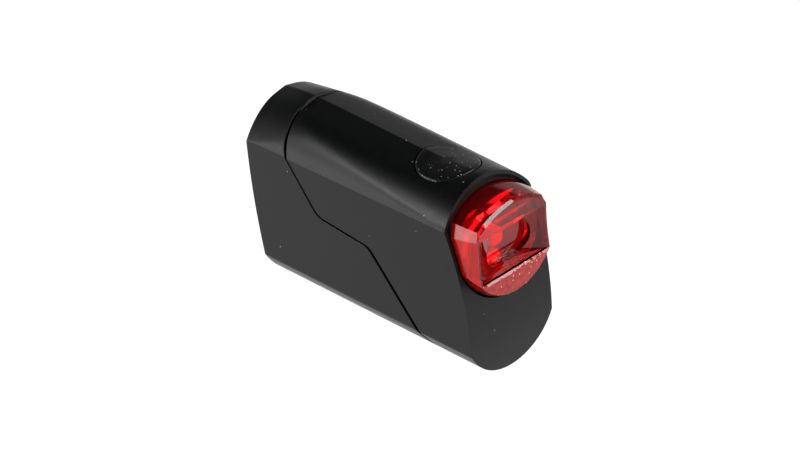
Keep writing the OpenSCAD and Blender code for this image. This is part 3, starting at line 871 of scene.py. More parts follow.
@dataclass
class ButtonCap:
    """Round push button that follows the arched top, with its flange and stem underneath."""

    form: BodyForm
    y: float = -48.8
    r: float = 7.3
    proud: float = 0.3
    edge_round: float = 0.55
    under: float = 1.9
    flange_r: float = 8.6
    flange_t: float = 0.8
    stem_r: float = 2.0
    stem_foot: float = 16.92
    stem_lap: float = 0.3
    ring_shares: tuple[float, ...] = (0.15, 0.32, 0.5, 0.68, 0.85, 1.0)
    round_rows: int = 6
    around: int = 96
    fold_angle: float = 50.0

    def build(self) -> Piece:
        """Builds the button.

        Returns:
            The piece.
        """
        flat, foot = self.r - self.edge_round, -self.under - self.flange_t
        profile = [(flat * share, self.proud) for share in (0.0, *self.ring_shares)]
        for turn in np.linspace(0, math.pi / 2, self.round_rows)[1:]:
            profile.append((flat + self.edge_round * math.sin(turn),
                            self.proud - self.edge_round * (1 - math.cos(turn))))
        profile += [(self.r, -self.under), (self.flange_r, -self.under)]
        profile += [(self.flange_r, foot), (self.stem_r, foot)]
        maker = MeshMaker()
        lathe(maker, profile, self._on_roof, self.around)
        stem_top = self._on_roof(np.array([[self.stem_r, 0.0, foot]]))[0, 2] + self.stem_lap
        lathe(maker, [(self.stem_r, stem_top), (self.stem_r, self.stem_foot), (0.0, self.stem_foot)],
              self._upright, self.around)
        return soften(maker.make("push_button"), self.fold_angle)

    def _on_roof(self, ring: np.ndarray) -> np.ndarray:
        """Places a ring on the arched top, its height measured from there."""
        x, y = ring[:, 0], ring[:, 1] + self.y
        return coords(x, y, self.form.roof(x, y) + ring[:, 2])

    def _upright(self, ring: np.ndarray) -> np.ndarray:
        """Places a level ring under the button."""
        return ring + np.array([0.0, self.y, 0.0])


class LensPart(IntEnum):
    """Parts of the red lens, by the number of their material."""

    CLEAR = 0
    PRISMS = 1
    LIP = 2
    RIBS = 3
    # Rim inside the opening, dressed in black rubber as painted shade of the gap under the visor
    RIM_PAINTED_SHADE = 4


@dataclass
class RedLens:
    """Red lens: an arched block with a scooped middle, a window in the scoop and a lower lip."""

    form: BodyForm
    housing: LensHousing
    gap: float = 0.6
    reach: float = 7.1
    bulge: float = 1.3
    edge_bulge: float = 1.0
    face_half: float = 11.3
    face_top: float = 4.3
    top_r: float = 17.8
    face_foot: float = 17.8
    back_y: float = -58.2
    wall: float = 1.0
    scoop_top: float = 1.4
    scoop_floor: float = 12.0
    scoop_half: float = 10.7
    scoop_r: float = 27.0
    scoop_skin: float = 1.85
    window_w: float = 14.4
    window_h: float = 8.4
    window_d: float = 0.65
    rim_facet: float = 3.0
    face_facet: float = 2.0
    facet_lean: float = 24.0
    dome: float = 0.25
    top_gap: float = 0.7
    chamfer_back: float = 0.65
    chamfer_drop: float = 0.55
    chamfer_crown: float = 0.1
    lip_chamfer: float = 0.7
    fold_angle: float = 7.0
    slight_round: float = 0.12
    lip_fade: float = 2.0
    round_rows: int = 7
    dome_rows: int = 7
    lip_rows: int = 7
    top_cols: int = 40
    foot_cols: int = 36
    side_rows: int = 16
    scoop_cols: int = 33
    window_col: int = 4
    window_rings: int = 4

    def __post_init__(self) -> None:
        """Works out the stations of the face, the scoop and the lip."""
        self.face_y = self.form.front_y - self.reach
        self.lip_y = self.face_y - self.bulge
        sag = self.bulge - self.edge_bulge
        self.lip_r = (self.face_half ** 2 + sag ** 2) / (2 * sag)
        self.levels = self.form.crease - np.linspace(self.scoop_top, self.scoop_floor, self.side_rows - 1)
        self.scoop_axis = self.face_y - math.sqrt(self.scoop_r ** 2 - self.scoop_half ** 2)
        self.hollow_y = self.scoop_axis + self.scoop_r + self.scoop_skin
        self.inset = self.housing.lens_rim + self.gap
        self.lean = math.tan(math.radians(self.facet_lean))
        self.first_foot = self.top_cols + 1 + self.side_rows

    def lip(self, x: Number) -> Number:
        """Returns Y of the lower lip's front."""
        return self.lip_y + self.lip_r - np.sqrt(self.lip_r ** 2 - x ** 2)

    def flare(self, z: Number) -> Number:
        """Returns how far the sides of the scoop have come forward at a height, down to the lip."""
        share = np.clip((self.levels[0] - z) / (self.levels[0] - self.levels[-1]), 0, 1)
        return self.edge_bulge * share ** 2

    def scoop(self, x: Number, z: Number) -> Number:
        """Returns Y of the scoop."""
        forward = self.flare(z) * (x / self.scoop_half) ** 2
        return self.scoop_axis + np.sqrt(self.scoop_r ** 2 - x ** 2) - forward

    def opening(self, y: Optional[float]) -> np.ndarray:
        """Returns the loop of the lens at its opening.

        Args:
            y: Place of the loop along the body, or none for the housing's front face.

        Returns:
            The closed loop, from the left over the top.
        """
        form = self.form
        station = form.front_y if y is None else y
        half = form.crease_point(self.inset)[0] - self.rim_facet * self.lean
        x = spread(lambda s: form.roof(s, station, self.inset), -half, half, self.top_cols)
        drop = self.top_gap * (1 - (x / half) ** 2)
        top = coords(x, form.roof(x, station, self.inset) - drop)
        r, axis = self.housing.lens_foot_r - self.gap, self.housing.foot_axis()
        turn = form.side_turn(r, axis, self.inset)
        foot = arc(r, axis, np.linspace(turn, -turn, self.foot_cols + 1))
        z = np.linspace(top[-1, 1] - self.rim_facet, foot[0, 1], self.side_rows + 1)[:-1]
        side = coords(form.side_half(z) - self.inset, z)
        x, z = np.concatenate([top, side, foot, side[::-1] * MIRROR[:2]]).T
        return coords(x, form.front(z) if y is None else y, z)

    def face(self) -> np.ndarray:
        """Returns the loop of the lens at its face and lip, point for point like the opening's."""
        crease = self.form.crease
        half = self.face_half - self.face_facet * self.lean
        x = np.linspace(-half, half, self.top_cols + 1)
        top = coords(x, crease + self.face_top - self.top_r + np.sqrt(self.top_r ** 2 - x ** 2))
        sag = self.face_foot - self.scoop_floor
        r = (self.face_half ** 2 + sag ** 2) / (2 * sag)
        turn = math.asin(self.face_half / r)
        foot = arc(r, crease - self.face_foot + r, np.linspace(turn, -turn, self.foot_cols + 1))
        side = coords(self.face_half, np.concatenate([[top[-1, 1] - self.face_facet], self.levels]))
        x, z = np.concatenate([top, side, foot, side[::-1] * MIRROR[:2]]).T
        low = z < crease - self.scoop_floor - WELD_MM
        return coords(x, np.where(low, self.lip(x), self.face_y - self.flare(z)), z)

    def build(self) -> Piece:
        """Builds the lens.

        Returns:
            The piece.
        """
        back, rim, face = self.opening(self.back_y), self.opening(None), self.face()
        rows = [back, rim]
        centre = np.array([0.0, 0.0, self.form.crease - self.scoop_floor / 2])
        outward = unit((rim - centre) * np.array([1, 0, 1]))
        for share in np.linspace(0, 1, self.dome_rows)[1:-1]:
            rows.append(between(rim, face, share) + outward * self.dome * math.sin(math.pi * share))
        on_top = (np.arange(len(face)) <= self.top_cols)[:, None]
        crowns = np.where(on_top, self.chamfer_crown, 1.0)
        backs = np.where(on_top, self.chamfer_back, self.slight_round)
        drops = np.where(on_top, self.chamfer_drop, self.slight_round)
        inset = face + self._inward(face) * drops
        inset[self.first_foot] = inset[self.first_foot - 1]
        inset[self.first_foot + self.foot_cols] = inset[self.first_foot] * MIRROR
        start = face + unit(rows[-1] - face) * backs
        rows.extend(self._edge_rows(start, face, inset, crowns))
        skirt = np.stack(rows)
        maker = MeshMaker()
        # The rim between the back and the opening gets painted shade: black rubber on the acrylic
        maker.grid(skirt[:2], closed=True, tag=LensPart.RIM_PAINTED_SHADE)
        ends = (0, self.top_cols, self.first_foot, self.first_foot + self.foot_cols, len(face))
        parts = (LensPart.CLEAR, LensPart.RIBS, LensPart.PRISMS, LensPart.RIBS)
        for first, last, part in zip(ends, ends[1:], parts):
            maker.grid(skirt[1:, np.arange(first, last + 1) % len(face)], tag=part)
        self._add_hollow(maker, back, skirt)
        self._add_front(maker, inset)
        return soften(maker.make("red_lens"), self.fold_angle)

    def _edge_rows(self, start: np.ndarray, edge: np.ndarray, end: np.ndarray,
                   crown: Number) -> list[np.ndarray]:
        """Returns the rows of a chamfer that is flat with a crown of 0 and round with a crown of 1."""
        control = between((start + end) / 2, edge, crown)
        return [(1 - t) ** 2 * start + 2 * t * (1 - t) * control + t ** 2 * end
                for t in np.linspace(0, 1, self.round_rows)]

    def _inward(self, loop: np.ndarray) -> np.ndarray:
        """Returns the way into a loop at each of its points, square to it and to Y."""
        tangent = np.roll(loop, -1, axis=0) - np.roll(loop, 1, axis=0)
        normal = unit(coords(-tangent[:, 2], 0.0, tangent[:, 0]))
        return normal if np.sum(normal * (loop.mean(axis=0) - loop)) > 0 else -normal

    def _add_hollow(self, maker: MeshMaker, back: np.ndarray, skirt: np.ndarray) -> None:
        """Adds the hollow back and its rim."""
        deep = np.array([[np.interp(self.hollow_y, column[::-1, 1], column[::-1, axis]) for axis in range(3)]
                         for column in skirt.transpose(1, 0, 2)])
        loops = [loop + self._inward(loop) * self.wall for loop in (back, deep)]
        for loop, y in zip(loops, (self.back_y, self.hollow_y)):
            loop[:, 1] = y
        maker.grid(np.stack([back, *loops]), closed=True)
        maker.polygon(loops[1])

    def _add_front(self, maker: MeshMaker, face: np.ndarray) -> None:
        """Adds the upper face, the scoop with its window, the floor and the lip."""
        high, low = self.levels[0], self.levels[-1]
        top, right = face[:self.top_cols + 1], face[self.top_cols + 1:self.first_foot]
        foot = face[self.first_foot:self.first_foot + self.foot_cols + 1]
        turn = math.asin(self.scoop_half / self.scoop_r)
        x = self.scoop_r * np.sin(np.linspace(-1, 1, self.scoop_cols) * turn)
        edge = coords(self.scoop_half, right[1:, 1], right[1:, 2])
        for flip in (np.ones(3), MIRROR):
            maker.grid(np.stack([right[1:], edge]) * flip)
        ceiling = coords(x, self.face_y, high)[::-1]
        maker.polygon(np.concatenate([top, right[:2], ceiling, right[1::-1] * MIRROR]))
        maker.polygon(np.concatenate([coords(x, self.scoop(x, high), high), ceiling[1:-1]]))
        lip = coords(foot[:, 0], foot[:, 1], low)
        width = self.lip_chamfer * np.clip((low - foot[:, 2:]) / self.lip_fade, 0, 1)
        rows = self._edge_rows(lip + width * np.array([0, 1, 0]), lip, lip - width * np.array([0, 0, 1]),
                               self.chamfer_crown)
        maker.polygon(np.concatenate([coords(x, self.scoop(x, low), low), rows[0]]), LensPart.RIBS)
        maker.grid(np.stack(rows), tag=LensPart.LIP)
        front = [between(rows[-1], foot, share) for share in np.linspace(0, 1, self.lip_rows)]
        maker.grid(np.stack(front), tag=LensPart.LIP)
        self._add_scoop(maker, x, self.levels[::-1])

    def _add_scoop(self, maker: MeshMaker, x: np.ndarray, levels: np.ndarray) -> None:
        """Adds the curved wall of the scoop with the window let into it."""
        sheet = coords(x, self.scoop(x, levels[:, None]), levels[:, None])
        loop = maker.holed(sheet, (1, len(levels) - 2), (self.window_col, len(x) - 1 - self.window_col))
        middle = (levels[0] + levels[-1]) / 2
        spokes = coords(loop[:, 0], loop[:, 2] - middle)
        r, run = self.window_h / 2, (self.window_w - self.window_h) / 2
        shares = [solve(lambda k: math.hypot(max(abs(sx) * k - run, 0.0), sz * k) - r, 0.0, 1.0)
                  for sx, sz in spokes]
        ring = spokes * np.array(shares)[:, None]
        rings = []
        for share in np.linspace(0, 1, self.window_rings)[:-1]:
            px, pz = between(ring, spokes, share).T
            rings.append(coords(px, self.scoop(px, pz + middle), pz + middle))
        maker.grid(np.stack([*rings, loop]), closed=True)
        pane = rings[0].copy()
        pane[:, 1] = self.scoop_axis + self.scoop_r + self.window_d
        maker.grid(np.stack([rings[0], pane]), closed=True)
        maker.polygon(pane)


def linear(hex_colour: str) -> tuple[float, float, float, float]:
    """Turns an sRGB hex colour into linear values.

    Args:
        hex_colour: Six hex digits after a hash sign.

    Returns:
        Red, green, blue and alpha.
    """
    parts = [int(hex_colour[i:i + 2], 16) / 255 for i in (1, 3, 5)]
    red, green, blue = [p / 12.92 if p <= 0.04045 else ((p + 0.055) / 1.055) ** 2.4 for p in parts]
    return red, green, blue, 1.0


def add_node(tree: bpy.types.NodeTree, kind: str, inputs: Optional[dict] = None,
             **settings) -> bpy.types.Node:
    """Adds a node with its settings, values and links.

    Args:
        tree: The node tree.
        kind: Type of the node.
        inputs: Values, or sockets to link, by the input's name or number.
        **settings: Settings of the node.

    Returns:
        The new node.
    """
    node = tree.nodes.new(kind)
    for name, value in settings.items():
        setattr(node, name, value)
    for name, value in (inputs or {}).items():
        if isinstance(value, Socket):
            tree.links.new(value, node.inputs[name])
        else:
            node.inputs[name].default_value = value
    return node


@dataclass(frozen=True)
class Finish:
    """A surface finish: base colour with mottling, gloss with unevenness, and a grain in relief."""

    name: str
    colour: str
    mottle: str
    roughness: float
    mottle_mm: float = 2.0
    uneven: float = 0.05
    grain_mm: float = 0.25
    grain_depth_mm: float = 0.01
    metallic: float = 0.0
    ior: float = 1.5
    transmission: float = 0.0
    stretch: tuple[float, float, float] = (1.0, 1.0, 1.0)
    cells: bool = False
    speck_gap_mm: float = 0.0
    speck_r_mm: float = 0.1
    speck: str = "#a8a8a6"
    # Strength of a painted glow in the base colour, for a part that is no lit lamp
    glow: float = 0.0

    def material(self) -> bpy.types.Material:
        """Makes the material.

        Returns:
            The material, made once and kept by its name.
        """
        if self.name in bpy.data.materials:
            return bpy.data.materials[self.name]
        made = bpy.data.materials.new(self.name)
        made.use_nodes = True
        tree = made.node_tree
        tree.nodes.clear()
        place = add_node(tree, "ShaderNodeTexCoord").outputs["Object"]
        where = add_node(tree, "ShaderNodeMapping", {"Vector": place, "Scale": self.stretch}).outputs[0]
        spots = add_node(tree, "ShaderNodeTexNoise", {
            "Vector": where, "Detail": 3.0, "Scale": 1 / (self.mottle_mm * MM)}).outputs["Fac"]
        colour = add_node(tree, "ShaderNodeMix", {
            MIX_SHARE: spots, MIX_A: linear(self.colour), MIX_B: linear(self.mottle)},
            data_type="RGBA").outputs[MIX_RESULT]
        # Small bright specks: dust on the black shells, painted glints on the lens lip
        if self.speck_gap_mm:
            dots = add_node(tree, "ShaderNodeTexVoronoi", {
                "Vector": where, "Scale": 1 / (self.speck_gap_mm * MM)}).outputs["Distance"]
            near = add_node(tree, "ShaderNodeMath", {0: dots, 1: self.speck_r_mm / self.speck_gap_mm},
                            operation="LESS_THAN").outputs[0]
            colour = add_node(tree, "ShaderNodeMix", {
                MIX_SHARE: near, MIX_A: colour, MIX_B: linear(self.speck)},
                data_type="RGBA").outputs[MIX_RESULT]
        gloss = add_node(tree, "ShaderNodeMapRange", {
            "Value": spots, TO_MIN: self.roughness - self.uneven, TO_MAX: self.roughness + self.uneven})
        kind, output = ("Voronoi", "Distance") if self.cells else ("Noise", "Fac")
        grain = add_node(tree, "ShaderNodeTex" + kind, {"Vector": where, "Scale": 1 / (self.grain_mm * MM)})
        relief = add_node(tree, "ShaderNodeBump", {
            "Height": grain.outputs[output], "Distance": self.grain_depth_mm * MM, "Strength": 1.0})
        body = add_node(tree, "ShaderNodeBsdfPrincipled", {
            "Base Color": colour, "Roughness": gloss.outputs[0], "Metallic": self.metallic,
            "IOR": self.ior, "Transmission Weight": self.transmission, "Normal": relief.outputs[0],
            "Emission Color": linear(self.colour), "Emission Strength": self.glow})
        add_node(tree, "ShaderNodeOutputMaterial", {"Surface": body.outputs[0]})
        return made


# Black ABS, moulded in a fine spark-eroded tool: dull, with a soft wide highlight
SHELL_ABS = Finish("shell_abs_fine_grain", "#030404", "#050606", 0.36, ior=1.32, grain_mm=0.22,
                   grain_depth_mm=0.012, speck_gap_mm=4.0, speck_r_mm=0.12)
# Black ABS, moulded in a coarser tool: small bright specks
BUTTON_ABS = Finish("button_abs_coarse_grain", "#050606", "#08090a", 0.36, ior=1.34, grain_mm=0.45,
                    grain_depth_mm=0.05, speck_gap_mm=1.0, speck_r_mm=0.12)
# Red acrylic, polished: clear and glossy
LENS_ACRYLIC = Finish("lens_acrylic_polished", "#ff1418", "#fa1014", 0.03, uneven=0.01, ior=1.43,
                      transmission=0.95, grain_mm=6.0, grain_depth_mm=0.01)
# Red acrylic, moulded with small prisms: sparkles on the underside of the lip
LENS_PRISMS = Finish("lens_acrylic_prisms", "#ff1418", "#fa1014", 0.05, uneven=0.01, ior=1.43,
                     transmission=0.95, grain_mm=1.1, grain_depth_mm=0.35, cells=True)
# Red acrylic over small prisms: dull red, with bright specks that are painted glints of the prisms
LENS_LIP_PAINTED_GLINTS = Finish("lens_acrylic_lip_painted_glints", "#f02420", "#2a0304", 0.08, uneven=0.03, ior=1.43,
                  transmission=0.3, mottle_mm=0.9, grain_mm=0.8, grain_depth_mm=0.03, cells=True,
                  speck_gap_mm=1.3, speck_r_mm=0.17, speck="#ffc8c0")
# Red acrylic, moulded with fine upright ribs: bright red with dark upright streaks that are painted
# reflections of the ribs, on the flanks and the scoop's floor
LENS_RIBS_PAINTED_STREAKS = Finish("lens_acrylic_ribs_painted_streaks", "#ff2018", "#900808", 0.05, uneven=0.02, ior=1.43,
                   transmission=0.4, mottle_mm=0.7, stretch=(1.0, 1.0, 0.12), grain_mm=0.6,
                   grain_depth_mm=0.02)
# Nitrile rubber, moulded: dull and black; also laid on the lens's rim inside the opening as painted shade
SEAL_RUBBER_AND_RIM_SHADE = Finish("seal_rubber_and_painted_rim_shade", "#0b0b0c", "#111112", 0.75, grain_mm=0.3)
# Polycarbonate with a vapour-deposited aluminium film: bright mirror
REFLECTOR_METAL = Finish("reflector_aluminium_film", "#8c8c90", "#7c7c80", 0.25, metallic=1.0,
                         grain_mm=3.0)
# Epoxy, cast clear red: glossy, with a painted glow that makes it brighter than its surroundings in place of
# the light it gathers
LED_EPOXY_PAINTED_GLOW = Finish("led_epoxy_painted_glow", "#ff5038", "#f04028", 0.08, uneven=0.02, grain_mm=1.5, glow=0.35)
# Glass-fibre laminate under green solder mask: glossy, with a faint weave
BOARD_LAMINATE = Finish("board_solder_mask", "#14502b", "#1a5f35", 0.32, mottle_mm=1.2, grain_mm=0.5)
# Brass, gold plated
PIN_BRASS = Finish("pin_brass_plated", "#c9a54a", "#d4b25c", 0.25, metallic=1.0)
# Epoxy moulding compound: dull black
CHIP_RESIN = Finish("chip_resin_moulded", "#161616", "#1e1e1f", 0.6)
# Ferrite, sintered: dark grey and matt
FERRITE = Finish("ferrite_sintered", "#3a3a3d", "#444447", 0.55, grain_mm=0.3, grain_depth_mm=0.02)
# Aluminium, drawn: soft metallic sheen
CAN_ALUMINIUM = Finish("can_aluminium_drawn", "#bcbec3", "#c8cacf", 0.3, metallic=1.0,
                       stretch=(1.0, 1.0, 0.1))
# Glass-filled nylon, moulded
SWITCH_NYLON = Finish("switch_nylon_moulded", "#1c1c1e", "#262628", 0.5)
# Acetal, moulded: cream and slightly waxy
PLUNGER_ACETAL = Finish("plunger_acetal_moulded", "#e6dfcb", "#ded6c0", 0.4)
# ABS, moulded in a plain tool: dark grey satin
CARRIER_ABS = Finish("carrier_abs_moulded", "#303236", "#383a3e", 0.42, grain_mm=0.4)
# Steel, zinc plated: pale, slightly mottled
SCREW_STEEL = Finish("screw_steel_zinc", "#a9abb0", "#9a9ca4", 0.32, metallic=1.0, mottle_mm=0.8)
# Steel strip, nickel plated: warm grey with fine rolling lines
CONTACT_NICKEL = Finish("contact_steel_nickel", "#c4c2bb", "#b2b0a8", 0.26, metallic=1.0,
                        stretch=(1.0, 1.0, 12.0))
# PVC shrink sleeve: glossy blue-grey
CELL_SLEEVE = Finish("cell_sleeve_shrunk", "#2f4f6f", "#345678", 0.25, mottle_mm=6.0, grain_mm=2.0,
                     grain_depth_mm=0.02)
# PVC shrink sleeve, printed: glossy copper at the positive end
CELL_BAND = Finish("cell_sleeve_copper", "#a8683a", "#b37444", 0.25, metallic=0.6, mottle_mm=6.0,
                   grain_mm=2.0)
# PVC insulation, extruded
LEAD_RED = Finish("lead_pvc_red", "#b32020", "#a11a1a", 0.4)
LEAD_BLACK = Finish("lead_pvc_black", "#161616", "#1f1f1f", 0.4)

NODE_FINISHES = {
    "cover_seal": SEAL_RUBBER_AND_RIM_SHADE, "lens_gasket": SEAL_RUBBER_AND_RIM_SHADE, "reflector": REFLECTOR_METAL, "led": LED_EPOXY_PAINTED_GLOW,
    "led_board": BOARD_LAMINATE, "main_board": BOARD_LAMINATE, "board_link_pins": PIN_BRASS,
    "driver_chip": CHIP_RESIN, "resistors": CHIP_RESIN, "inductor": FERRITE, "capacitor": CAN_ALUMINIUM,
    "switch_body": SWITCH_NYLON, "switch_plunger": PLUNGER_ACETAL, "battery_carrier": CARRIER_ABS,
    "bridge_contact": CONTACT_NICKEL, "positive_contact": CONTACT_NICKEL, "negative_contact": CONTACT_NICKEL,
}


def dress(piece: Piece, *finishes: Finish) -> None:
    """Gives a piece its materials.

    Args:
        piece: The piece.
        *finishes: The finishes, in the order of the mesh's material numbers.
    """
    if piece.data.materials:
        piece.data.materials.clear()
    for finish in finishes:
        piece.data.materials.append(finish.material())


@dataclass
class Grown:
    """A Geometry Nodes tree with named inputs in metres, which grows one plain mesh."""

    name: str
    finish: Finish
    values: dict

    def __post_init__(self) -> None:
        """Starts the tree with its inputs."""
        self.tree = bpy.data.node_groups.new(self.name, "GeometryNodeTree")
        self.tree.interface.new_socket("Geometry", in_out="OUTPUT", socket_type="NodeSocketGeometry")
        for key, value in self.values.items():
            kind = "NodeSocketFloat" if isinstance(value, float) else "NodeSocketVector"
            self.tree.interface.new_socket(key, in_out="INPUT", socket_type=kind)
        self.inputs = add_node(self.tree, "NodeGroupInput").outputs

    def add(self, kind: str, inputs: Optional[dict] = None, **settings) -> Socket:
        """Adds a node, with settings and inputs as for add_node, and returns its first output."""
        return add_node(self.tree, "GeometryNode" + kind, inputs, **settings).outputs[0]

    def moved(self, shape: Socket, to: Union[tuple, Socket],
              turn: Union[tuple, Socket] = (0.0, 0.0, 0.0)) -> Socket:
        """Turns and moves a shape."""
        return self.add("Transform", {"Geometry": shape, "Translation": to, "Rotation": turn})

    def tube(self, path: Socket, r: Union[float, Socket], around: int) -> Socket:
        """Sweeps a round along a path."""
        ring = self.add("CurvePrimitiveCircle", {"Resolution": around, "Radius": r})
        return self.add("CurveToMesh", {"Curve": path, "Profile Curve": ring, "Fill Caps": True})

    def finished(self, shape: Socket) -> Piece:
        """Ends the tree and turns what it grows into a plain mesh.

        Args:
            shape: The tree's last shape.

        Returns:
            The piece.
        """
        real = self.add("RealizeInstances", {"Geometry": shape})
        painted = self.add("SetMaterial", {"Geometry": real, "Material": self.finish.material()})
        add_node(self.tree, "NodeGroupOutput", {"Geometry": painted})
        piece = bpy.data.objects.new(self.name, bpy.data.meshes.new(self.name))
        bpy.context.scene.collection.objects.link(piece)
        live = piece.modifiers.new("grow", "NODES")
        live.node_group = self.tree
        for item in self.tree.interface.items_tree:
            if item.in_out == "INPUT":
                live[item.identifier] = self.values[item.name]
        return soften(applied(piece))


@dataclass
class Spring:
    """Tapered battery spring, wound from round wire."""

    name: str
    at: tuple[float, float, float]
    turned: float
    base_r: float = 3.3
    tip_r: float = 2.05
    wire_r: float = 0.25
    rise: float = 2.58
    turns: float = 2.5

    def build(self) -> Piece:
        """Grows the spring and returns it."""
        grown = Grown(self.name, CONTACT_NICKEL, {
            "Place": tuple(c * MM for c in self.at), "Turn": (math.radians(self.turned), 0.0, 0.0),
            "Base Radius": self.base_r * MM, "Tip Radius": self.tip_r * MM, "Wire Radius": self.wire_r * MM,
            "Rise": self.rise * MM, "Turns": self.turns})
        values = grown.inputs
        coil = grown.add("CurveSpiral", {
            "Resolution": 36, "Rotations": values["Turns"], "Start Radius": values["Base Radius"],
            "End Radius": values["Tip Radius"], "Height": values["Rise"]})
        wire = grown.tube(coil, values["Wire Radius"], 12)
        return grown.finished(grown.moved(wire, values["Place"], values["Turn"]))


@dataclass
class Lead:
    """Insulated wire from a contact's tab up to the main board."""

    name: str
    finish: Finish
    x: float
    foot: tuple[float, float] = (-54.26, 4.0)
    head: tuple[float, float] = (-49.8, 10.36)
    swing: float = 3.6
    r: float = 0.54

    def build(self) -> Piece:
        """Grows the lead and returns it."""
        (y0, z0), (y1, z1) = self.foot, self.head
        points = {"Start": (self.x, y0, z0), "Start Handle": (self.x, y0, z0 + self.swing),
                  "End Handle": (self.x, y1, z1 - self.swing), "End": (self.x, y1, z1)}
        points = {key: tuple(c * MM for c in point) for key, point in points.items()}
        grown = Grown(self.name, self.finish, {**points, "Wire Radius": self.r * MM})
        links = {key: grown.inputs[key] for key in points}
        path = grown.add("CurvePrimitiveBezierSegment", {"Resolution": 24, **links})
        return grown.finished(grown.tube(path, grown.inputs["Wire Radius"], 16))


@dataclass
class Screws:
    """Four self-tapping screws with pan heads and cross recesses, heads down."""

    middle_y: float = -28.0
    gauge: float = 16.0
    pitch: float = 18.0
    head_z: float = 0.98
    head_h: float = 1.05
    head_r: float = 1.88
    core_r: float = 0.6
    thread_r: float = 0.13
    tip_z: float = 15.9
    taper: float = 0.8
    winds: float = 14.0
    recess: tuple[float, float, float] = (2.3, 0.4, 1.1)
    thread_gap: float = 0.2

    def build(self) -> Piece:
        """Grows one screw, sets it on four points and returns them as one piece."""
        grown = Grown("carrier_screw_set", SCREW_STEEL, {
            "Gauge": self.gauge * MM, "Pitch": self.pitch * MM, "Middle": (0.0, self.middle_y * MM, 0.0),
            "Head Radius": self.head_r * MM, "Core Radius": self.core_r * MM, "Winds": self.winds})
        values = grown.inputs
        half, shoulder = self.head_h / 2, self.tip_z - self.taper
        core_z = self.head_z + half
        head = grown.add("MeshCylinder", {
            "Vertices": 48, "Radius": values["Head Radius"], "Depth": self.head_h * MM})
        slot = grown.add("MeshCube", {"Size": [c * MM for c in self.recess]})
        for turn in (0.0, math.pi / 2):
            cutter = grown.moved(slot, (0.0, 0.0, -half * MM), (0.0, 0.0, turn))
            head = grown.add("MeshBoolean", {"Mesh 1": head, "Mesh 2": cutter}, operation="DIFFERENCE")
        core = grown.add("MeshCylinder", {
            "Vertices": 24, "Radius": values["Core Radius"], "Depth": (shoulder - core_z) * MM})
        tip = grown.add("MeshCone", {
            "Vertices": 24, "Radius Top": self.core_r / 6 * MM, "Radius Bottom": values["Core Radius"],
            "Depth": self.taper * MM})
        thread_z = self.head_z + self.head_h + self.thread_gap
        coil = grown.add("CurveSpiral", {
            "Resolution": 20, "Rotations": values["Winds"], "Start Radius": values["Core Radius"],
            "End Radius": values["Core Radius"], "Height": (shoulder - self.thread_gap - thread_z) * MM})
        thread = grown.tube(coil, self.thread_r * MM, 3)
        join = add_node(grown.tree, "GeometryNodeJoinGeometry")
        middle = (core_z + shoulder) / 2
        for shape, z in ((thread, thread_z), (tip, shoulder), (core, middle), (head, core_z)):
            grown.tree.links.new(grown.moved(shape, (0.0, 0.0, z * MM)), join.inputs[0])
        grid = grown.add("MeshGrid", {
            "Size X": values["Gauge"], "Size Y": values["Pitch"], "Vertices X": 2, "Vertices Y": 2})
        spots = grown.moved(grid, values["Middle"])
        return grown.finished(grown.add("InstanceOnPoints", {"Points": spots, "Instance": join.outputs[0]}))


@dataclass
class Cell:
    """Small round cell in a two-coloured sleeve, with a steel base and a steel terminal."""

    name: str
    x: float
    base_y: float
    way: int
    z: float = -4.5
    r: float = 5.25
    length: float = 44.5
    nub_r: float = 1.9
    nub_h: float = 0.8
    band: float = 12.0
    fold_r: float = 4.0
    fold_lap: float = 0.5
    fold_edge: float = 0.1
    base_sink: float = 0.12
    seat_sink: float = 0.15
    nub_foot: float = 0.3
    nub_round: float = 0.2
    edge: tuple[tuple[float, float], ...] = ((0.35, 0.0), (0.08, 0.12), (0.0, 0.4))

    def build(self) -> Piece:
        """Builds the cell and returns it."""
        top, rim = self.length - self.nub_h, self.fold_r - self.fold_lap
        seat = top - self.seat_sink
        base = [(self.r - inset, rise) for inset, rise in self.edge]
        crown = [(self.r - inset, top - rise) for inset, rise in reversed(self.edge)]
        seam = (self.r, top - self.band)
        maker = MeshMaker()
        lathe(maker, [(0.0, self.base_sink), (self.fold_r, self.base_sink)], self._along, tag=1)
        fold = [(self.fold_r, self.base_sink), (self.fold_r + self.fold_edge, 0.0)]
        lathe(maker, [*fold, *base, seam], self._along)
        lathe(maker, [seam, *crown, (rim + self.fold_edge, top), (rim, seat)], self._along, tag=2)
        lathe(maker, [(rim, seat), (self.nub_r + self.nub_foot, seat), (self.nub_r, top),
                      (self.nub_r, self.length - self.nub_round), (self.nub_r - self.nub_round, self.length),
                      (0.0, self.length)], self._along, tag=1)
        return soften(maker.make(self.name))

    def _along(self, ring: np.ndarray) -> np.ndarray:
        """Lays a ring of the cell along the body."""
        return coords(self.x + ring[:, 0], self.base_y + self.way * ring[:, 2], self.z + ring[:, 1])


@dataclass(frozen=True)
class Softbox:
    """A soft lamp: the way towards it, how far away it is, its size and its power in watts."""

    name: str
    toward: tuple[float, float, float]
    away: float
    width: float
    height: float
    power: float


SOFTBOXES = (
    Softbox("left_back_softbox", (-0.84, 0.54, 0.12), 900.0, 900.0, 260.0, 3.6),
    Softbox("left_near_softbox", (-0.62, 0.45, 0.54), 260.0, 70.0, 70.0, 0.24),
    Softbox("right_front_softbox", (0.33, -0.68, 0.61), 800.0, 620.0, 260.0, 5.6),
)


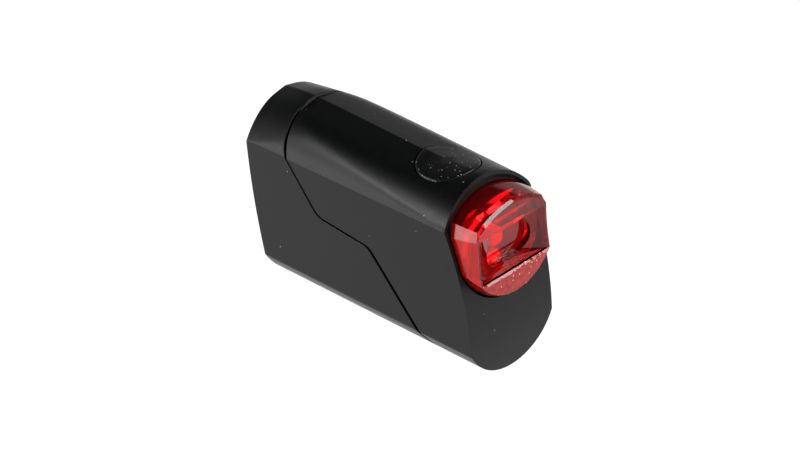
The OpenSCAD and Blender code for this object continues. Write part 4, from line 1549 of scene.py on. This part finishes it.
@dataclass
class Studio:
    """Camera, floor and soft lights."""

    camera_at: tuple[float, float, float] = (-357.5, -391.27, 308.77)
    right: tuple[float, float, float] = (0.6923, -0.7208, -0.0344)
    up: tuple[float, float, float] = (0.3974, 0.3411, 0.8519)
    focal_px: float = 2601.3
    frame_px: float = 800.0
    sensor: float = 36.0
    floor_size: float = 4000.0
    floor_glow: float = 1.0
    horizon: float = 0.47
    zenith: float = 0.03
    sky_low: float = 0.43
    sky_high: float = 0.57
    floor_gap: float = 0.02
    floor_roughness: float = 0.9
    clip: tuple[float, float] = (0.01, 20.0)
    aim: tuple[float, float, float] = (0.0, -40.0, 0.0)

    def build(self) -> None:
        """Builds the camera, the floor and the lights."""
        bpy.context.scene.view_settings.view_transform = "Standard"
        self._camera()
        self._floor()
        self._world()
        for box in SOFTBOXES:
            self._light(box)

    def _camera(self) -> None:
        """Places the camera at the photograph's angle."""
        data = bpy.data.cameras.new("camera")
        data.sensor_width = self.sensor
        data.lens = self.focal_px / self.frame_px * self.sensor
        data.clip_start, data.clip_end = self.clip
        camera = bpy.data.objects.new("camera", data)
        right, up = Vector(self.right).normalized(), Vector(self.up).normalized()
        back = right.cross(up)
        turn = Matrix((right, up, back)).transposed()
        camera.matrix_world = Matrix.Translation(Vector(self.camera_at) * MM) @ turn.to_4x4()
        bpy.context.scene.collection.objects.link(camera)
        bpy.context.scene.camera = camera

    def _floor(self) -> None:
        """Lays a pale floor just under the body."""
        half, z = self.floor_size / 2, CAD_BOX[0].z / MM - self.floor_gap
        maker = MeshMaker()
        maker.polygon(np.array([[-half, -half, z], [half, -half, z], [half, half, z], [-half, half, z]]))
        floor = maker.make("floor")
        made = bpy.data.materials.new("floor_paper")
        made.use_nodes = True
        body = made.node_tree.nodes["Principled BSDF"]
        body.inputs["Base Color"].default_value = linear("#6e6e6e")
        body.inputs["Roughness"].default_value = self.floor_roughness
        body.inputs["Emission Color"].default_value = linear("#ffffff")
        body.inputs["Emission Strength"].default_value = self.floor_glow
        floor.data.materials.append(made)

    def _world(self) -> None:
        """Lights the room softly: bright near the horizon, dim overhead."""
        world = bpy.data.worlds.new("studio")
        world.use_nodes = True
        tree = world.node_tree
        tree.nodes.clear()
        place = add_node(tree, "ShaderNodeTexCoord")
        parts = add_node(tree, "ShaderNodeSeparateXYZ", {0: place.outputs["Generated"]})
        height = add_node(tree, "ShaderNodeMapRange", {
            "Value": parts.outputs["Z"], FROM_MIN: self.sky_low, FROM_MAX: self.sky_high,
            TO_MIN: self.horizon, TO_MAX: self.zenith}, interpolation_type="SMOOTHSTEP")
        sky = add_node(tree, "ShaderNodeBackground", {
            "Color": (1.0, 1.0, 1.0, 1.0), "Strength": height.outputs[0]})
        add_node(tree, "ShaderNodeOutputWorld", {"Surface": sky.outputs[0]})
        bpy.context.scene.world = world

    def _light(self, box: Softbox) -> None:
        """Adds a softbox that faces the light unit.

        Args:
            box: The softbox.
        """
        data = bpy.data.lights.new(box.name, "AREA")
        data.shape = "RECTANGLE"
        data.size, data.size_y = box.width * MM, box.height * MM
        data.energy = box.power
        lamp = bpy.data.objects.new(box.name, data)
        lamp.visible_camera = False
        target = Vector(self.aim) * MM
        lamp.location = target + Vector(box.toward).normalized() * box.away * MM
        lamp.rotation_euler = (target - lamp.location).to_track_quat("-Z", "Y").to_euler()
        bpy.context.scene.collection.objects.link(lamp)


def place(piece: Piece, body: str, slot: str, *nodes: str) -> None:
    """Lets a piece stand for its nodes and move with its body.

    Args:
        piece: The piece.
        body: The body that it moves with.
        slot: The record's material slot; not used.
        *nodes: The nodes that it stands for.
    """
    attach(piece, body)
    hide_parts(*nodes)
    LOG.info("%s: %d faces on %s", piece.name, len(piece.data.polygons), body)


def main() -> None:
    """Builds the studio and the pieces in order."""
    logging.basicConfig(level=logging.INFO, format="%(message)s")
    Studio().build()
    for node, finish in NODE_FINISHES.items():
        dress(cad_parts[node], finish)
    form = BodyForm()
    housing = LensHousing(form)
    # The last finish, black rubber, is painted shade on the lens's rim inside the opening
    red = (LENS_ACRYLIC, LENS_PRISMS, LENS_LIP_PAINTED_GLINTS, LENS_RIBS_PAINTED_STREAKS, SEAL_RUBBER_AND_RIM_SHADE)
    sleeve = (CELL_SLEEVE, CONTACT_NICKEL, CELL_BAND)
    for part, finishes, body, slot, node in (
            (BatteryCover(form), (SHELL_ABS,), "cover", "shell_abs", "battery_cover"),
            (housing, (SHELL_ABS,), "light_unit", "shell_abs", "lens_housing"),
            (ButtonCap(form), (BUTTON_ABS,), "button", "button_abs", "button_cap"),
            (RedLens(form, housing), red, "light_unit", "lens_acrylic", "lens"),
            (Cell("left_cell", -5.5, -9.6, -1), sleeve, "light_unit", "cell_sleeve", "cell_left"),
            (Cell("right_cell", 5.5, -50.9, 1), sleeve, "light_unit", "cell_sleeve", "cell_right")):
        piece = part.build()
        dress(piece, *finishes)
        place(piece, body, slot, node)
    for part, slot, node in (
            (Spring("rear_spring", (-5.5, -6.72, -4.5), 90.0), "contact_nickel", "spring_rear"),
            (Spring("front_spring", (5.5, -53.78, -4.5), -90.0), "contact_nickel", "spring_front"),
            (Lead("red_lead", LEAD_RED, -8.5), "lead_red", "lead_positive"),
            (Lead("black_lead", LEAD_BLACK, 8.5), "lead_black", "lead_negative"),
            (Screws(), "screw_steel", "carrier_screws")):
        place(part.build(), "light_unit", slot, node)


if __name__ == "__main__":
    main()
